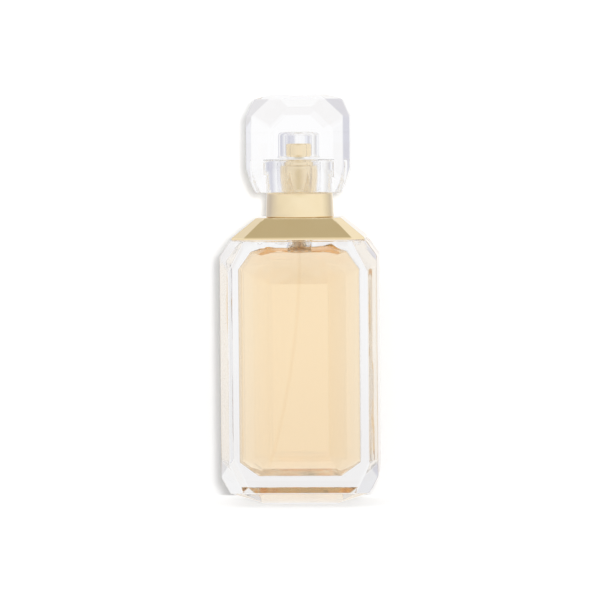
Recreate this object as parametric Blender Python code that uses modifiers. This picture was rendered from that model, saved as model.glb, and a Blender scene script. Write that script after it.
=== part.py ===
"""Perfume bottle: a step-cut glass flacon with a hipped gold shoulder plate, a crimped spray pump, a turned
gold collar and a faceted clear cap.

Units are metres, +Z is up, the front faces -Y and the origin is the centre of the base. Every turned piece
stands on the Z axis, which is also the axis of the pump's stroke, the button's swivel and the cap's travel.
"""

from math import cos, hypot, pi, radians, sin, tau

import bmesh
import bpy
from mathutils import Vector

MM = 0.001

# Clearances
SEAT_GAP = 0.3 * MM
RUN_GAP = 0.15 * MM

# Flacon, outside: octagon sections from the base up, between an upright front and back
BODY_WIDTH = 58.8 * MM
BODY_DEPTH = 40.0 * MM
CORNER_CUT = 3.3 * MM
CORNER_CUT_DEPTH = 3.3 * MM
BASE_WIDTH = 26.7 * MM
BASE_DEPTH = 12.5 * MM
STEP_HEIGHT = 5.1 * MM
STEP_INSET = 3.3 * MM
STEP_CUT = 5.2 * MM
BEVEL_HEIGHT = 5.9 * MM
GIRDLE_HEIGHT = 83.0 * MM
TABLE_RISE = 5.0 * MM
TABLE_DROP = 5.8 * MM
SHOULDER_HEIGHT = 5.65 * MM
SHOULDER_INSET = 4.0 * MM
SHOULDER_CUT = 5.3 * MM

# Flacon, inside: a softer cut of the same kind, set in from the walls
FRONT_WALL = 4.8 * MM
SIDE_WALL = 6.7 * MM
FLOOR_WALL = 11.3 * MM
ROOF_WALL = 4.2 * MM
CAVITY_CUT_WIDTH = 11.85 * MM
CAVITY_CUT_DEPTH = 5.2 * MM
CAVITY_FLOOR_INSET = 7.1 * MM
CAVITY_ROOF_INSET = 4.7 * MM
CAVITY_FLOOR_DEPTH = 4.4 * MM
CAVITY_ROOF_DEPTH = 7.2 * MM
CAVITY_FLOOR_RISE = 7.7 * MM
CAVITY_SIDE_RISE = 5.1 * MM
CAVITY_ROOF_DROP = 12.0 * MM
CAVITY_SIDE_DROP = 6.6 * MM
CAVITY_FOOT_RISE = 3.2 * MM
CAVITY_FOOT_DEPTH = 2.6 * MM
CAVITY_FOOT_SPREAD = 2.6 * MM
CAVITY_CROWN_DROP = 2.85 * MM
CAVITY_CROWN_DEPTH = 3.8 * MM
CAVITY_CROWN_CUT = 0.65 * MM
CAVITY_DOME = 1.9 * MM
CAVITY_DOME_WIDTH = 25.0 * MM
CAVITY_DOME_DEPTH = 12.0 * MM
CAVITY_DOME_CUT = 4.0 * MM
CAVITY_ROUNDING = 0.15 * MM

# Shoulder plate
PLATE_LEDGE = 0.5 * MM
PLATE_RIM = 0.8 * MM
PLATE_HEIGHT = 8.2 * MM
PLATE_SIDE_MARGIN = 3.0 * MM
PLATE_FRONT_MARGIN = 0.3 * MM
PLATE_TOP_CUT = 3.2 * MM
PLATE_STEP = 0.8 * MM
PLATE_WALL = 1.0 * MM

# Neck finish
NECK_REACH = 7.9 * MM
NECK_WALL = 1.8 * MM
NECK_BEAD = 0.9 * MM
NECK_BEAD_HEIGHT = 3.4 * MM
NECK_EDGE = 0.7 * MM

# Collar and the moulded ring inside it
COLLAR_SKIRT_HEIGHT = 8.9 * MM
COLLAR_STEP = 1.95 * MM
COLLAR_FLARE = 0.4 * MM
COLLAR_WALL = 0.7 * MM
COLLAR_EDGE = 0.4 * MM
GUIDE_RING_HEIGHT = 1.9 * MM
GUIDE_RING_WALL = 0.6 * MM
INSERT_WALL = 1.25 * MM
INSERT_FOOT = 0.9 * MM
INSERT_FLANGE = 1.5 * MM

# Crimp and pump
FERRULE_WALL = 0.45 * MM
TURRET_WALL = 1.1 * MM
TURRET_HEIGHT = 0.8 * MM
GASKET_THICKNESS = 0.9 * MM
CHAMBER_RADIUS = 3.4 * MM
CHAMBER_WALL = 1.1 * MM
GASKET_SEAT = 0.5 * MM
HOUSING_FLANGE = 1.2 * MM
COVER_THICKNESS = 1.0 * MM
COVER_PLUG = 2.0 * MM
STEM_GASKET_THICKNESS = 0.8 * MM
STEM_RADIUS = 1.8 * MM
STEM_BORE_RADIUS = 0.7 * MM
STEM_FOOT = 0.5 * MM
PISTON_HEIGHT = 2.65 * MM
PISTON_LIP = 0.6 * MM
PISTON_WAIST = 0.3 * MM
SPRING_WIRE_RADIUS = 0.25 * MM
SPRING_TURNS = 4
SPRING_END_TURNS = 1
RETAINER_THICKNESS = 0.8 * MM
RETAINER_LAP = 0.3 * MM
BALL_RADIUS = 1.2 * MM
BALL_LIFT = 0.8 * MM
BALL_PLAY = 0.45 * MM
TAIL_WALL = 0.65 * MM
TAIL_LENGTH = 3.0 * MM
PUMP_STROKE = 4.5 * MM

# Dip tube
TUBE_RADIUS = 0.75 * MM
TUBE_WALL = 0.25 * MM
TUBE_GRIP = 2.2 * MM
TUBE_CORNER_GAP = 3.5 * MM
TUBE_FOOT_GAP = 1.6 * MM

# Button
BUTTON_RADIUS = 7.25 * MM
BUTTON_WALL = 0.5 * MM
BUTTON_EDGE = 0.5 * MM
BUTTON_PLAY = 0.4 * MM
BUTTON_FLOOR_GAP = 1.5 * MM
BUTTON_LAP = 1.35 * MM
BUTTON_REST = 2.0 * MM
CORE_ROOF = 4.2 * MM
CORE_SKIRT = 0.8 * MM
CORE_BOSS_WALL = 1.3 * MM
SOCKET_GRIP = 4.0 * MM
SOCKET_ROOM = 1.6 * MM
CHANNEL_RADIUS = 0.4 * MM
NOZZLE_RADIUS = 1.9 * MM
NOZZLE_LENGTH = 2.7 * MM
NOZZLE_CONE = 0.7 * MM
NOZZLE_PROUD = 0.1 * MM
NOZZLE_DROP = 2.8 * MM
ORIFICE_RADIUS = 0.2 * MM

# Cap
CAP_SIDE_WALL = 3.5 * MM
CAP_FRONT_WALL = 1.1 * MM
CAP_ROOF_WALL = 13.9 * MM
CAP_CORNER_CUT = 2.2 * MM
CAP_CUT_RATIO = 1.25
CAP_BASE_INSET = 3.4 * MM
CAP_FOOT_HEIGHT = 3.3 * MM
CAP_FOOT_INSET = 1.8 * MM
CAP_TAPER_HEIGHT = 9.1 * MM
CAP_CROWN_DROP = 8.0 * MM
CAP_CROWN_INSET = 3.0 * MM
CAP_CROWN_CUT = 6.05 * MM
CAP_TABLE_DROP = 1.6 * MM
CAP_TABLE_INSET = 9.0 * MM
CAP_TABLE_SET_BACK = 7.0 * MM
CAP_TABLE_CUT = 3.0 * MM
CAP_FACE_PROUD = 1.6 * MM
CAP_FACE_WIDTH = 19.8 * MM
CAP_FACE_DROP = 7.65 * MM
CAP_FACE_CUT = 5.5 * MM
CAP_HEADROOM = 4.4 * MM
CAP_RING_GAP = 0.8 * MM
CAP_BORE_PLAY = 0.5 * MM
CAP_BORE_FILLET = 1.6 * MM
LINER_WALL = 1.4 * MM
LINER_BEAD = 0.15 * MM

# Facets of the round pieces
FINE_STEPS = 48
COARSE_STEPS = 32
FINE_ARC = 3
COARSE_ARC = 2
ROUND_SEGMENTS = 2
TUBE_STEPS = 20
COIL_STEPS = 12
BALL_DETAIL = 2
SHARP_ANGLE = radians(30)
SIDEWAYS = -pi / 2
FLAT_ANGLE = radians(0.4)
WELD = 0.002 * MM

# Radii worked out from the sizes above, from the pump outwards
HOUSING_RADIUS = CHAMBER_RADIUS + CHAMBER_WALL
MOUTH_RADIUS = CHAMBER_RADIUS + GASKET_SEAT
STEM_HOLE_RADIUS = STEM_RADIUS + RUN_GAP
TURRET_RADIUS = STEM_HOLE_RADIUS + TURRET_WALL
FERRULE_HOLE_RADIUS = TURRET_RADIUS + RUN_GAP
CAGE_RADIUS = BALL_RADIUS + BALL_PLAY
TAIL_RADIUS = CAGE_RADIUS + TAIL_WALL
TUBE_HOLE_RADIUS = TUBE_RADIUS + RUN_GAP
BORE_RADIUS = HOUSING_RADIUS + SEAT_GAP
THROAT_RADIUS = BORE_RADIUS + NECK_WALL
BEAD_RADIUS = THROAT_RADIUS + NECK_BEAD
FERRULE_INNER = BEAD_RADIUS + RUN_GAP
FERRULE_RADIUS = FERRULE_INNER + FERRULE_WALL
GUIDE_HOLE_RADIUS = BUTTON_RADIUS + BUTTON_PLAY
GUIDE_RING_RADIUS = GUIDE_HOLE_RADIUS + GUIDE_RING_WALL
INSERT_GRIP = FERRULE_RADIUS + RUN_GAP
INSERT_RADIUS = max(INSERT_GRIP, GUIDE_HOLE_RADIUS) + INSERT_WALL
SLEEVE_RADIUS = INSERT_RADIUS + SEAT_GAP + COLLAR_WALL
SHOULDER_RADIUS = SLEEVE_RADIUS + COLLAR_STEP
COLLAR_RADIUS = SHOULDER_RADIUS + COLLAR_FLARE
CORE_RADIUS = BUTTON_RADIUS - BUTTON_WALL - RUN_GAP
LINER_INNER = SLEEVE_RADIUS + SEAT_GAP
LINER_RADIUS = LINER_INNER + LINER_WALL
CAP_LOWER_BORE = LINER_RADIUS + SEAT_GAP
CAP_UPPER_BORE = BUTTON_RADIUS + CAP_BORE_PLAY
CAP_WIDTH = 2 * (CAP_LOWER_BORE + CAP_SIDE_WALL + CAP_BASE_INSET)
CAP_DEPTH = 2 * (CAP_LOWER_BORE + CAP_FRONT_WALL + CAP_BASE_INSET)

# Heights worked out from the sizes above, from the base up
GIRDLE_BOTTOM = STEP_HEIGHT + BEVEL_HEIGHT
GIRDLE_TOP = GIRDLE_BOTTOM + GIRDLE_HEIGHT
LEDGE = GIRDLE_TOP + SHOULDER_HEIGHT
CAVITY_FLOOR = FLOOR_WALL
CAVITY_ROOF = LEDGE - ROOF_WALL
FILL_TOP = CAVITY_ROOF - SEAT_GAP
PLATE_BOTTOM = LEDGE + SEAT_GAP
PLATE_TOP = PLATE_BOTTOM + PLATE_HEIGHT
NECK_TOP = PLATE_TOP + NECK_REACH
BEAD_BOTTOM = NECK_TOP - NECK_BEAD_HEIGHT
GASKET_BOTTOM = NECK_TOP + RUN_GAP
GASKET_TOP = GASKET_BOTTOM + GASKET_THICKNESS
FLANGE_BOTTOM = GASKET_TOP + RUN_GAP
FLANGE_TOP = FLANGE_BOTTOM + HOUSING_FLANGE
COVER_BOTTOM = FLANGE_TOP + RUN_GAP
COVER_TOP = COVER_BOTTOM + COVER_THICKNESS
FERRULE_TOP = COVER_TOP + RUN_GAP + FERRULE_WALL
FERRULE_BOTTOM = BEAD_BOTTOM - RUN_GAP - FERRULE_WALL
TURRET_TOP = FERRULE_TOP + TURRET_HEIGHT
STEM_GASKET_TOP = COVER_BOTTOM - COVER_PLUG - RUN_GAP
STEM_GASKET_BOTTOM = STEM_GASKET_TOP - STEM_GASKET_THICKNESS
GASKET_STEP = STEM_GASKET_BOTTOM - RUN_GAP
PISTON_TOP = GASKET_STEP - RUN_GAP
PISTON_BOTTOM = PISTON_TOP - PISTON_HEIGHT
STEM_FOOT_TOP = PISTON_BOTTOM - RUN_GAP
STEM_BOTTOM = STEM_FOOT_TOP - STEM_FOOT
SPRING_TOP = STEM_BOTTOM - RUN_GAP
SPRING_SOLID = (SPRING_TURNS + 2 * SPRING_END_TURNS + 1) * 2 * SPRING_WIRE_RADIUS
SPRING_BOTTOM = SPRING_TOP - SPRING_SOLID - PUMP_STROKE
RETAINER_TOP = SPRING_BOTTOM - RUN_GAP
RETAINER_BOTTOM = RETAINER_TOP - RETAINER_THICKNESS
CHAMBER_FLOOR = RETAINER_BOTTOM - RUN_GAP
BALL_CENTRE = RETAINER_BOTTOM - RUN_GAP - BALL_LIFT - BALL_RADIUS
BALL_SEAT = BALL_CENTRE - BALL_RADIUS - RUN_GAP
HOUSING_BOTTOM = BALL_SEAT - TAIL_LENGTH
BUTTON_BOTTOM = FERRULE_TOP + PUMP_STROKE + BUTTON_FLOOR_GAP
COLLAR_BOTTOM = PLATE_TOP + SEAT_GAP
COLLAR_SHOULDER = COLLAR_BOTTOM + COLLAR_SKIRT_HEIGHT
COLLAR_CROWN = BUTTON_BOTTOM + BUTTON_LAP
RING_TOP = COLLAR_CROWN + GUIDE_RING_HEIGHT
BUTTON_TOP = RING_TOP + PUMP_STROKE + BUTTON_REST
CORE_TOP = BUTTON_TOP - BUTTON_WALL - RUN_GAP
CORE_FLOOR = CORE_TOP - CORE_ROOF
CORE_BOTTOM = BUTTON_BOTTOM + CORE_SKIRT
STEM_TOP = CORE_BOTTOM + SOCKET_GRIP
SOCKET_TOP = STEM_TOP + SOCKET_ROOM
CAP_BOTTOM = COLLAR_SHOULDER + SEAT_GAP
CAP_BORE_STEP = RING_TOP + CAP_RING_GAP
CAP_BORE_TOP = BUTTON_TOP + CAP_HEADROOM
CAP_TOP = CAP_BORE_TOP + CAP_ROOF_WALL
LINER_BOTTOM = CAP_BOTTOM + RUN_GAP
LINER_TOP = CAP_BORE_STEP - SEAT_GAP


def clear_scene():
    """Removes the objects that the scene starts with."""
    for obj in list(bpy.data.objects):
        bpy.data.objects.remove(obj)


def new_collection(name):
    """A collection linked to the scene."""
    collection = bpy.data.collections.new(name)
    bpy.context.scene.collection.children.link(collection)
    return collection


def make_material(name, colour, roughness, metallic=0.0, transmission=0.0, ior=1.45):
    """A Principled BSDF with one finish."""
    material = bpy.data.materials.new(name)
    material.use_nodes = True
    shader = material.node_tree.nodes["Principled BSDF"]
    shader.inputs["Base Color"].default_value = (*colour, 1.0)
    shader.inputs["Roughness"].default_value = roughness
    shader.inputs["Metallic"].default_value = metallic
    shader.inputs["Transmission Weight"].default_value = transmission
    shader.inputs["IOR"].default_value = ior
    return material


def axis_frame(name, height, parent=None):
    """An empty on the bottle's axis that carries the pieces which move together."""
    empty = bpy.data.objects.new(name, None)
    empty.empty_display_size = BODY_DEPTH / 4
    PARTS.objects.link(empty)
    empty.parent = parent
    empty.location.z = height - frame_height(parent)
    return empty


def frame_height(empty):
    """Height of an empty above the base, through all its parents."""
    height = 0.0
    while empty is not None:
        height += empty.location.z
        empty = empty.parent
    return height


def add_part(name, mesh, material, frame):
    """A visible piece, carried by a frame, whose mesh is in the bottle's own coordinates."""
    obj = bpy.data.objects.new(name, mesh)
    mesh.materials.clear()
    mesh.materials.append(material)
    PARTS.objects.link(obj)
    obj.parent = frame
    obj.location.z = -frame_height(frame)
    return obj


def add_cutter(name, mesh):
    """A helper that other pieces are cut by or joined with."""
    obj = bpy.data.objects.new(name, mesh)
    CUTTERS.objects.link(obj)
    obj.hide_render = True
    obj.display_type = "WIRE"
    return obj


def boolean(obj, other, operation):
    """Cuts or joins a piece with a helper."""
    modifier = obj.modifiers.new(other.name, "BOOLEAN")
    modifier.operation = operation
    modifier.solver = "EXACT"
    modifier.object = other


def evaluated_mesh(obj):
    """The mesh that an object has with its modifiers, welded at its caps. The object is removed."""
    graph = bpy.context.evaluated_depsgraph_get()
    mesh = bpy.data.meshes.new_from_object(obj.evaluated_get(graph))
    bpy.data.objects.remove(obj)
    bm = bmesh.new()
    bm.from_mesh(mesh)
    bmesh.ops.remove_doubles(bm, verts=bm.verts, dist=WELD)
    bm.to_mesh(mesh)
    bm.free()
    return mesh


def shade_round(mesh):
    """Smooth shading with the real edges kept sharp."""
    mesh.shade_smooth()
    mesh.set_sharp_from_angle(angle=SHARP_ANGLE)
    return mesh


def hull_mesh(name, points, rounding=0.0):
    """The faceted solid that spans some corner points, with its edges rounded if asked."""
    bm = bmesh.new()
    for point in points:
        bm.verts.new(point)
    bmesh.ops.remove_doubles(bm, verts=bm.verts, dist=WELD)
    found = bmesh.ops.convex_hull(bm, input=bm.verts)
    spare = [item for item in found["geom_interior"] if isinstance(item, bmesh.types.BMVert)]
    bmesh.ops.delete(bm, geom=spare, context="VERTS")
    bmesh.ops.dissolve_limit(bm, angle_limit=FLAT_ANGLE, verts=bm.verts, edges=bm.edges)
    if rounding:
        bmesh.ops.bevel(
            bm,
            geom=bm.edges[:],
            offset=rounding,
            segments=ROUND_SEGMENTS,
            profile=0.5,
            affect="EDGES",
            material=-1,
        )
    bmesh.ops.recalc_face_normals(bm, faces=bm.faces)
    mesh = bpy.data.meshes.new(name)
    bm.to_mesh(mesh)
    bm.free()
    return mesh


def four_fold(quarter):
    """The points of one quarter of a piece, repeated in the other three."""
    return [(i * x, j * y, z) for i in (-1, 1) for j in (-1, 1) for x, y, z in quarter]


def octagon(width, depth, cut, cut_depth, height):
    """Corners of a rectangle with its corners cut off, at one height."""
    front = (width / 2 - cut, depth / 2, height)
    side = (width / 2, depth / 2 - cut_depth, height)
    return four_fold((front, side))


def turned_mesh(name, profile, steps):
    """A solid of revolution about Z, from (radius, height) points down the outside and up the inside."""
    closed = min(radius for radius, _ in profile) > 0
    count = len(profile)
    edges = [(i, (i + 1) % count) for i in range(count if closed else count - 1)]
    outline = bpy.data.meshes.new(name)
    outline.from_pydata([(radius, 0.0, height) for radius, height in profile], edges, [])
    obj = bpy.data.objects.new(name, outline)
    PARTS.objects.link(obj)
    screw = obj.modifiers.new("Screw", "SCREW")
    screw.axis = "Z"
    screw.steps = steps
    screw.render_steps = steps
    screw.use_merge_vertices = True
    screw.merge_threshold = WELD
    bpy.context.view_layer.update()
    return shade_round(evaluated_mesh(obj))


def arc(radius, height, size, start, end, steps=FINE_ARC):
    """Points of a round stretch of a profile, by its centre, its size and its angles in degrees."""
    angles = [radians(start + (end - start) * i / steps) for i in range(steps + 1)]
    return [(radius + size * cos(a), height + size * sin(a)) for a in angles]


def path_mesh(name, points, radius, capped):
    """A round tube or wire along some points."""
    curve = bpy.data.curves.new(name, "CURVE")
    curve.dimensions = "3D"
    curve.bevel_depth = radius
    curve.bevel_resolution = 2
    curve.use_fill_caps = capped
    spline = curve.splines.new("POLY")
    spline.points.add(len(points) - 1)
    for target, point in zip(spline.points, points):
        target.co = (*point, 1.0)
    obj = bpy.data.objects.new(name, curve)
    PARTS.objects.link(obj)
    bpy.context.view_layer.update()
    return shade_round(evaluated_mesh(obj))


def girdle_corners(table_height, side_height):
    """The two corner points of the upright faces at one end: the flat front's and the side's."""
    table = Vector((BODY_WIDTH / 2 - CORNER_CUT, BODY_DEPTH / 2, table_height))
    side = Vector((BODY_WIDTH / 2, BODY_DEPTH / 2 - CORNER_CUT_DEPTH, side_height))
    return table, side


def tier(girdle, inset, cut, height):
    """Width, depth, cut and cut depth of a level, set in at its sides, with flat corner facets."""
    table, side = girdle
    front = Vector((BODY_WIDTH / 2 - inset - cut, BODY_DEPTH / 2, height))
    normal = (side - table).cross(front - table)
    offset = Vector((BODY_WIDTH / 2 - inset, 0.0, height)) - table
    cut_depth = front.y + normal.dot(offset) / normal.y
    return 2 * (front.x + cut), 2 * front.y, cut, cut_depth


def ledge_size():
    """Width, depth, cut and cut depth of the glass where the shoulder facets end."""
    return tier(GIRDLE_UPPER, SHOULDER_INSET, SHOULDER_CUT, LEDGE)


def flacon_outside():
    """Corner points of the step-cut glass block, from the base to the ledge under the plate."""
    points = octagon(BASE_WIDTH, BASE_DEPTH, 0.0, 0.0, 0.0)
    points += octagon(*tier(GIRDLE_LOWER, STEP_INSET, STEP_CUT, STEP_HEIGHT), STEP_HEIGHT)
    points += four_fold(GIRDLE_LOWER) + four_fold(GIRDLE_UPPER)
    points += octagon(*ledge_size(), LEDGE)
    return points


def cavity_points(inset):
    """Corner points of the space in the glass, drawn in by some distance."""
    table_y = BODY_DEPTH / 2 - FRONT_WALL - inset
    side_x = BODY_WIDTH / 2 - SIDE_WALL - inset
    table_x = side_x - CAVITY_CUT_WIDTH
    side_y = table_y - CAVITY_CUT_DEPTH
    floor = CAVITY_FLOOR + inset
    roof = CAVITY_ROOF - inset
    quarter = [
        (side_x - CAVITY_FLOOR_INSET, table_y - CAVITY_FLOOR_DEPTH, floor),
        (table_x + CAVITY_FOOT_SPREAD, table_y - CAVITY_FOOT_DEPTH, floor + CAVITY_FOOT_RISE),
        (table_x, table_y, floor + CAVITY_FLOOR_RISE),
        (side_x, side_y, floor + CAVITY_SIDE_RISE),
        (side_x, side_y, roof - CAVITY_SIDE_DROP),
        (table_x, table_y, roof - CAVITY_ROOF_DROP),
        (table_x - CAVITY_CROWN_CUT, table_y - CAVITY_CROWN_DEPTH, roof - CAVITY_CROWN_DROP),
        (side_x - CAVITY_ROOF_INSET, table_y - CAVITY_ROOF_DEPTH, roof),
    ]
    dome_width = CAVITY_DOME_WIDTH - 2 * inset
    dome_depth = CAVITY_DOME_DEPTH - 2 * inset
    dome = octagon(dome_width, dome_depth, CAVITY_DOME_CUT, CAVITY_DOME_CUT, roof + CAVITY_DOME)
    return four_fold(quarter) + dome


def plate_points(inset, foot):
    """Corner points of the hipped plate, drawn in by some distance, with its rim run to a foot height."""
    ledge_width, ledge_depth, ledge_cut, ledge_cut_depth = ledge_size()
    rim_width = ledge_width - 2 * PLATE_LEDGE
    rim_depth = ledge_depth - 2 * PLATE_LEDGE
    rim_cut = ledge_cut - PLATE_LEDGE
    cut_ratio = ledge_cut_depth / ledge_cut
    top_width = 2 * (COLLAR_RADIUS + PLATE_SIDE_MARGIN)
    top_depth = 2 * (COLLAR_RADIUS + PLATE_FRONT_MARGIN)
    slope = PLATE_HEIGHT - PLATE_RIM - PLATE_STEP
    run_x = (rim_width - top_width) / 2 / slope
    run_y = (rim_depth - top_depth) / 2 / slope
    width = top_width - 2 * inset
    depth = top_depth - 2 * inset
    eave = PLATE_TOP - PLATE_STEP - inset * (hypot(1, run_x) - 1) / run_x
    fall = (rim_width - top_width) / 2 / run_x
    brim = (width + 2 * fall * run_x, depth + 2 * fall * run_y, rim_cut, rim_cut * cut_ratio)
    crown = (width, depth, PLATE_TOP_CUT, PLATE_TOP_CUT * cut_ratio)
    points = octagon(*brim, foot) + octagon(*brim, eave - fall)
    points += octagon(*crown, eave) + octagon(*crown, PLATE_TOP - inset)
    return points


def cap_outside():
    """Corner points of the faceted cap, whose flat front and back stand proud of the facets round them."""
    girdle_bottom = CAP_BOTTOM + CAP_TAPER_HEIGHT
    girdle_top = CAP_TOP - CAP_CROWN_DROP
    crown = CAP_TOP - CAP_TABLE_DROP
    levels = [
        (CAP_BASE_INSET, CAP_BASE_INSET, CAP_CORNER_CUT, CAP_BOTTOM),
        (CAP_FOOT_INSET, CAP_FOOT_INSET, CAP_CORNER_CUT, CAP_BOTTOM + CAP_FOOT_HEIGHT),
        (0.0, CAP_FACE_PROUD, CAP_CORNER_CUT, girdle_bottom),
        (0.0, CAP_FACE_PROUD, CAP_CORNER_CUT, girdle_top),
        (CAP_CROWN_INSET, CAP_FACE_PROUD, CAP_CROWN_CUT, crown),
        (CAP_TABLE_INSET, CAP_TABLE_SET_BACK, CAP_TABLE_CUT, CAP_TOP),
    ]
    points = []
    for inset_x, inset_y, cut, height in levels:
        width = CAP_WIDTH - 2 * inset_x
        depth = CAP_DEPTH - 2 * inset_y
        points += octagon(width, depth, cut, cut * CAP_CUT_RATIO, height)
    corner_slope = (crown - girdle_top) / (CAP_CROWN_INSET + CAP_CROWN_CUT - CAP_CORNER_CUT)
    face_x = CAP_FACE_WIDTH / 2
    face_y = CAP_DEPTH / 2
    face_top = CAP_TOP - CAP_FACE_DROP
    face = [
        (face_x - CAP_FACE_CUT, face_y, face_top),
        (face_x, face_y, face_top - CAP_FACE_CUT * corner_slope),
        (face_x, face_y, girdle_bottom),
    ]
    return points + four_fold(face)


def build_flacon():
    """The glass bottle: block, hip under the plate and crimp neck, hollowed from the neck down."""
    flacon = add_part("glass_flacon", hull_mesh("glass_flacon", flacon_outside()), CLEAR_GLASS, BOTTLE)
    hip = hull_mesh("glass_hip", plate_points(PLATE_WALL + SEAT_GAP, LEDGE - ROOF_WALL / 2))
    boolean(flacon, add_cutter("glass_hip", hip), "UNION")
    neck = [(0.0, NECK_TOP)]
    neck += arc(BEAD_RADIUS - NECK_EDGE, NECK_TOP - NECK_EDGE, NECK_EDGE, 90, 0)
    neck += [
        (BEAD_RADIUS, BEAD_BOTTOM + NECK_EDGE),
        (BEAD_RADIUS - NECK_EDGE, BEAD_BOTTOM),
        (THROAT_RADIUS, BEAD_BOTTOM),
        (THROAT_RADIUS, LEDGE),
        (0.0, LEDGE),
    ]
    boolean(flacon, add_cutter("glass_neck", turned_mesh("glass_neck", neck, COARSE_STEPS)), "UNION")
    cavity = hull_mesh("flacon_cavity", cavity_points(0.0), CAVITY_ROUNDING)
    boolean(flacon, add_cutter("flacon_cavity", cavity), "DIFFERENCE")
    bore = [
        (0.0, NECK_TOP + ROOF_WALL),
        (BORE_RADIUS, NECK_TOP + ROOF_WALL),
        (BORE_RADIUS, CAVITY_ROOF - ROOF_WALL),
        (0.0, CAVITY_ROOF - ROOF_WALL),
    ]
    boolean(flacon, add_cutter("neck_bore", turned_mesh("neck_bore", bore, COARSE_STEPS)), "DIFFERENCE")


def tube_path():
    """Points of the dip tube: straight out of the pump's tail, then swept towards a lower corner."""
    top = HOUSING_BOTTOM + TUBE_GRIP
    foot = CAVITY_FLOOR + TUBE_FOOT_GAP
    reach = BODY_WIDTH / 2 - SIDE_WALL - CAVITY_FLOOR_INSET - TUBE_CORNER_GAP
    points = [(0.0, 0.0, top)]
    for i in range(TUBE_STEPS + 1):
        share = i / TUBE_STEPS
        points.append((-reach * share**2, 0.0, HOUSING_BOTTOM + (foot - HOUSING_BOTTOM) * share))
    return points


def build_fill():
    """The liquid, with the channel that the dip tube and the pump's tail take up."""
    mesh = shade_round(hull_mesh("perfume_fill", cavity_points(SEAT_GAP), CAVITY_ROUNDING))
    fill = add_part("perfume_fill", mesh, AMBER_LIQUID, BOTTLE)
    channel = tube_path()
    channel[0] = (0.0, 0.0, FILL_TOP + ROOF_WALL)
    channel = path_mesh("tube_channel", channel, TUBE_RADIUS + SEAT_GAP, capped=True)
    boolean(fill, add_cutter("tube_channel", channel), "DIFFERENCE")
    well = [
        (0.0, FLANGE_TOP),
        (BORE_RADIUS, FLANGE_TOP),
        (BORE_RADIUS, HOUSING_BOTTOM - SEAT_GAP),
        (0.0, HOUSING_BOTTOM - SEAT_GAP),
    ]
    boolean(fill, add_cutter("pump_well", turned_mesh("pump_well", well, COARSE_STEPS)), "DIFFERENCE")


def build_dip_tube():
    """The tube that feeds the pump, hollow from end to end."""
    mesh = path_mesh("dip_tube", tube_path(), TUBE_RADIUS, capped=False)
    tube = add_part("dip_tube", mesh, CLEAR_PLASTIC, BOTTLE)
    wall = tube.modifiers.new("Wall", "SOLIDIFY")
    wall.thickness = TUBE_WALL
    wall.offset = -1.0


def build_plate():
    """The hipped gold plate: a shell over the glass shoulder with a hole for the neck."""
    mesh = hull_mesh("shoulder_plate", plate_points(0.0, PLATE_BOTTOM))
    plate = add_part("shoulder_plate", mesh, GOLD, BOTTLE)
    inside = hull_mesh("plate_inside", plate_points(PLATE_WALL, PLATE_BOTTOM - PLATE_HEIGHT))
    boolean(plate, add_cutter("plate_inside", inside), "DIFFERENCE")
    radius = THROAT_RADIUS + SEAT_GAP
    hole = [
        (0.0, NECK_TOP),
        (radius, NECK_TOP),
        (radius, PLATE_BOTTOM),
        (0.0, PLATE_BOTTOM),
    ]
    boolean(plate, add_cutter("plate_hole", turned_mesh("plate_hole", hole, COARSE_STEPS)), "DIFFERENCE")


def build_collar():
    """The turned gold collar and the moulded ring that holds it on the ferrule."""
    edge = COLLAR_EDGE
    profile = arc(GUIDE_RING_RADIUS - edge, RING_TOP - edge, edge, 90, 0)
    profile += [(GUIDE_RING_RADIUS, COLLAR_CROWN)]
    profile += arc(SLEEVE_RADIUS - edge, COLLAR_CROWN - edge, edge, 90, 0)
    profile += [(SLEEVE_RADIUS, COLLAR_SHOULDER)]
    profile += arc(SHOULDER_RADIUS - edge, COLLAR_SHOULDER - edge, edge, 90, 0)
    profile += [
        (COLLAR_RADIUS, COLLAR_BOTTOM),
        (COLLAR_RADIUS - COLLAR_WALL, COLLAR_BOTTOM),
        (SHOULDER_RADIUS - COLLAR_WALL, COLLAR_SHOULDER - COLLAR_WALL),
        (SLEEVE_RADIUS - COLLAR_WALL, COLLAR_SHOULDER - COLLAR_WALL),
        (SLEEVE_RADIUS - COLLAR_WALL, COLLAR_CROWN - COLLAR_WALL),
        (GUIDE_HOLE_RADIUS, COLLAR_CROWN - COLLAR_WALL),
        (GUIDE_HOLE_RADIUS, RING_TOP),
    ]
    add_part("collar_shell", turned_mesh("collar_shell", profile, FINE_STEPS), GOLD, BOTTLE)

    top = COLLAR_CROWN - COLLAR_WALL - SEAT_GAP
    lip = FERRULE_TOP + RUN_GAP
    foot = COLLAR_BOTTOM + INSERT_FOOT
    flange_top = COLLAR_SHOULDER - COLLAR_WALL - SEAT_GAP
    flange = SHOULDER_RADIUS - COLLAR_WALL - SEAT_GAP
    insert = [
        (INSERT_RADIUS, top),
        (INSERT_RADIUS, flange_top),
        (flange, flange_top),
        (flange, flange_top - INSERT_FLANGE),
        (INSERT_RADIUS, flange_top - INSERT_FLANGE - (flange - INSERT_RADIUS)),
        (INSERT_RADIUS, foot),
        (INSERT_GRIP, foot),
        (INSERT_GRIP, lip),
        (GUIDE_HOLE_RADIUS, lip),
        (GUIDE_HOLE_RADIUS, top),
    ]
    add_part("collar_insert", turned_mesh("collar_insert", insert, COARSE_STEPS), WHITE_PLASTIC, BOTTLE)


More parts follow.
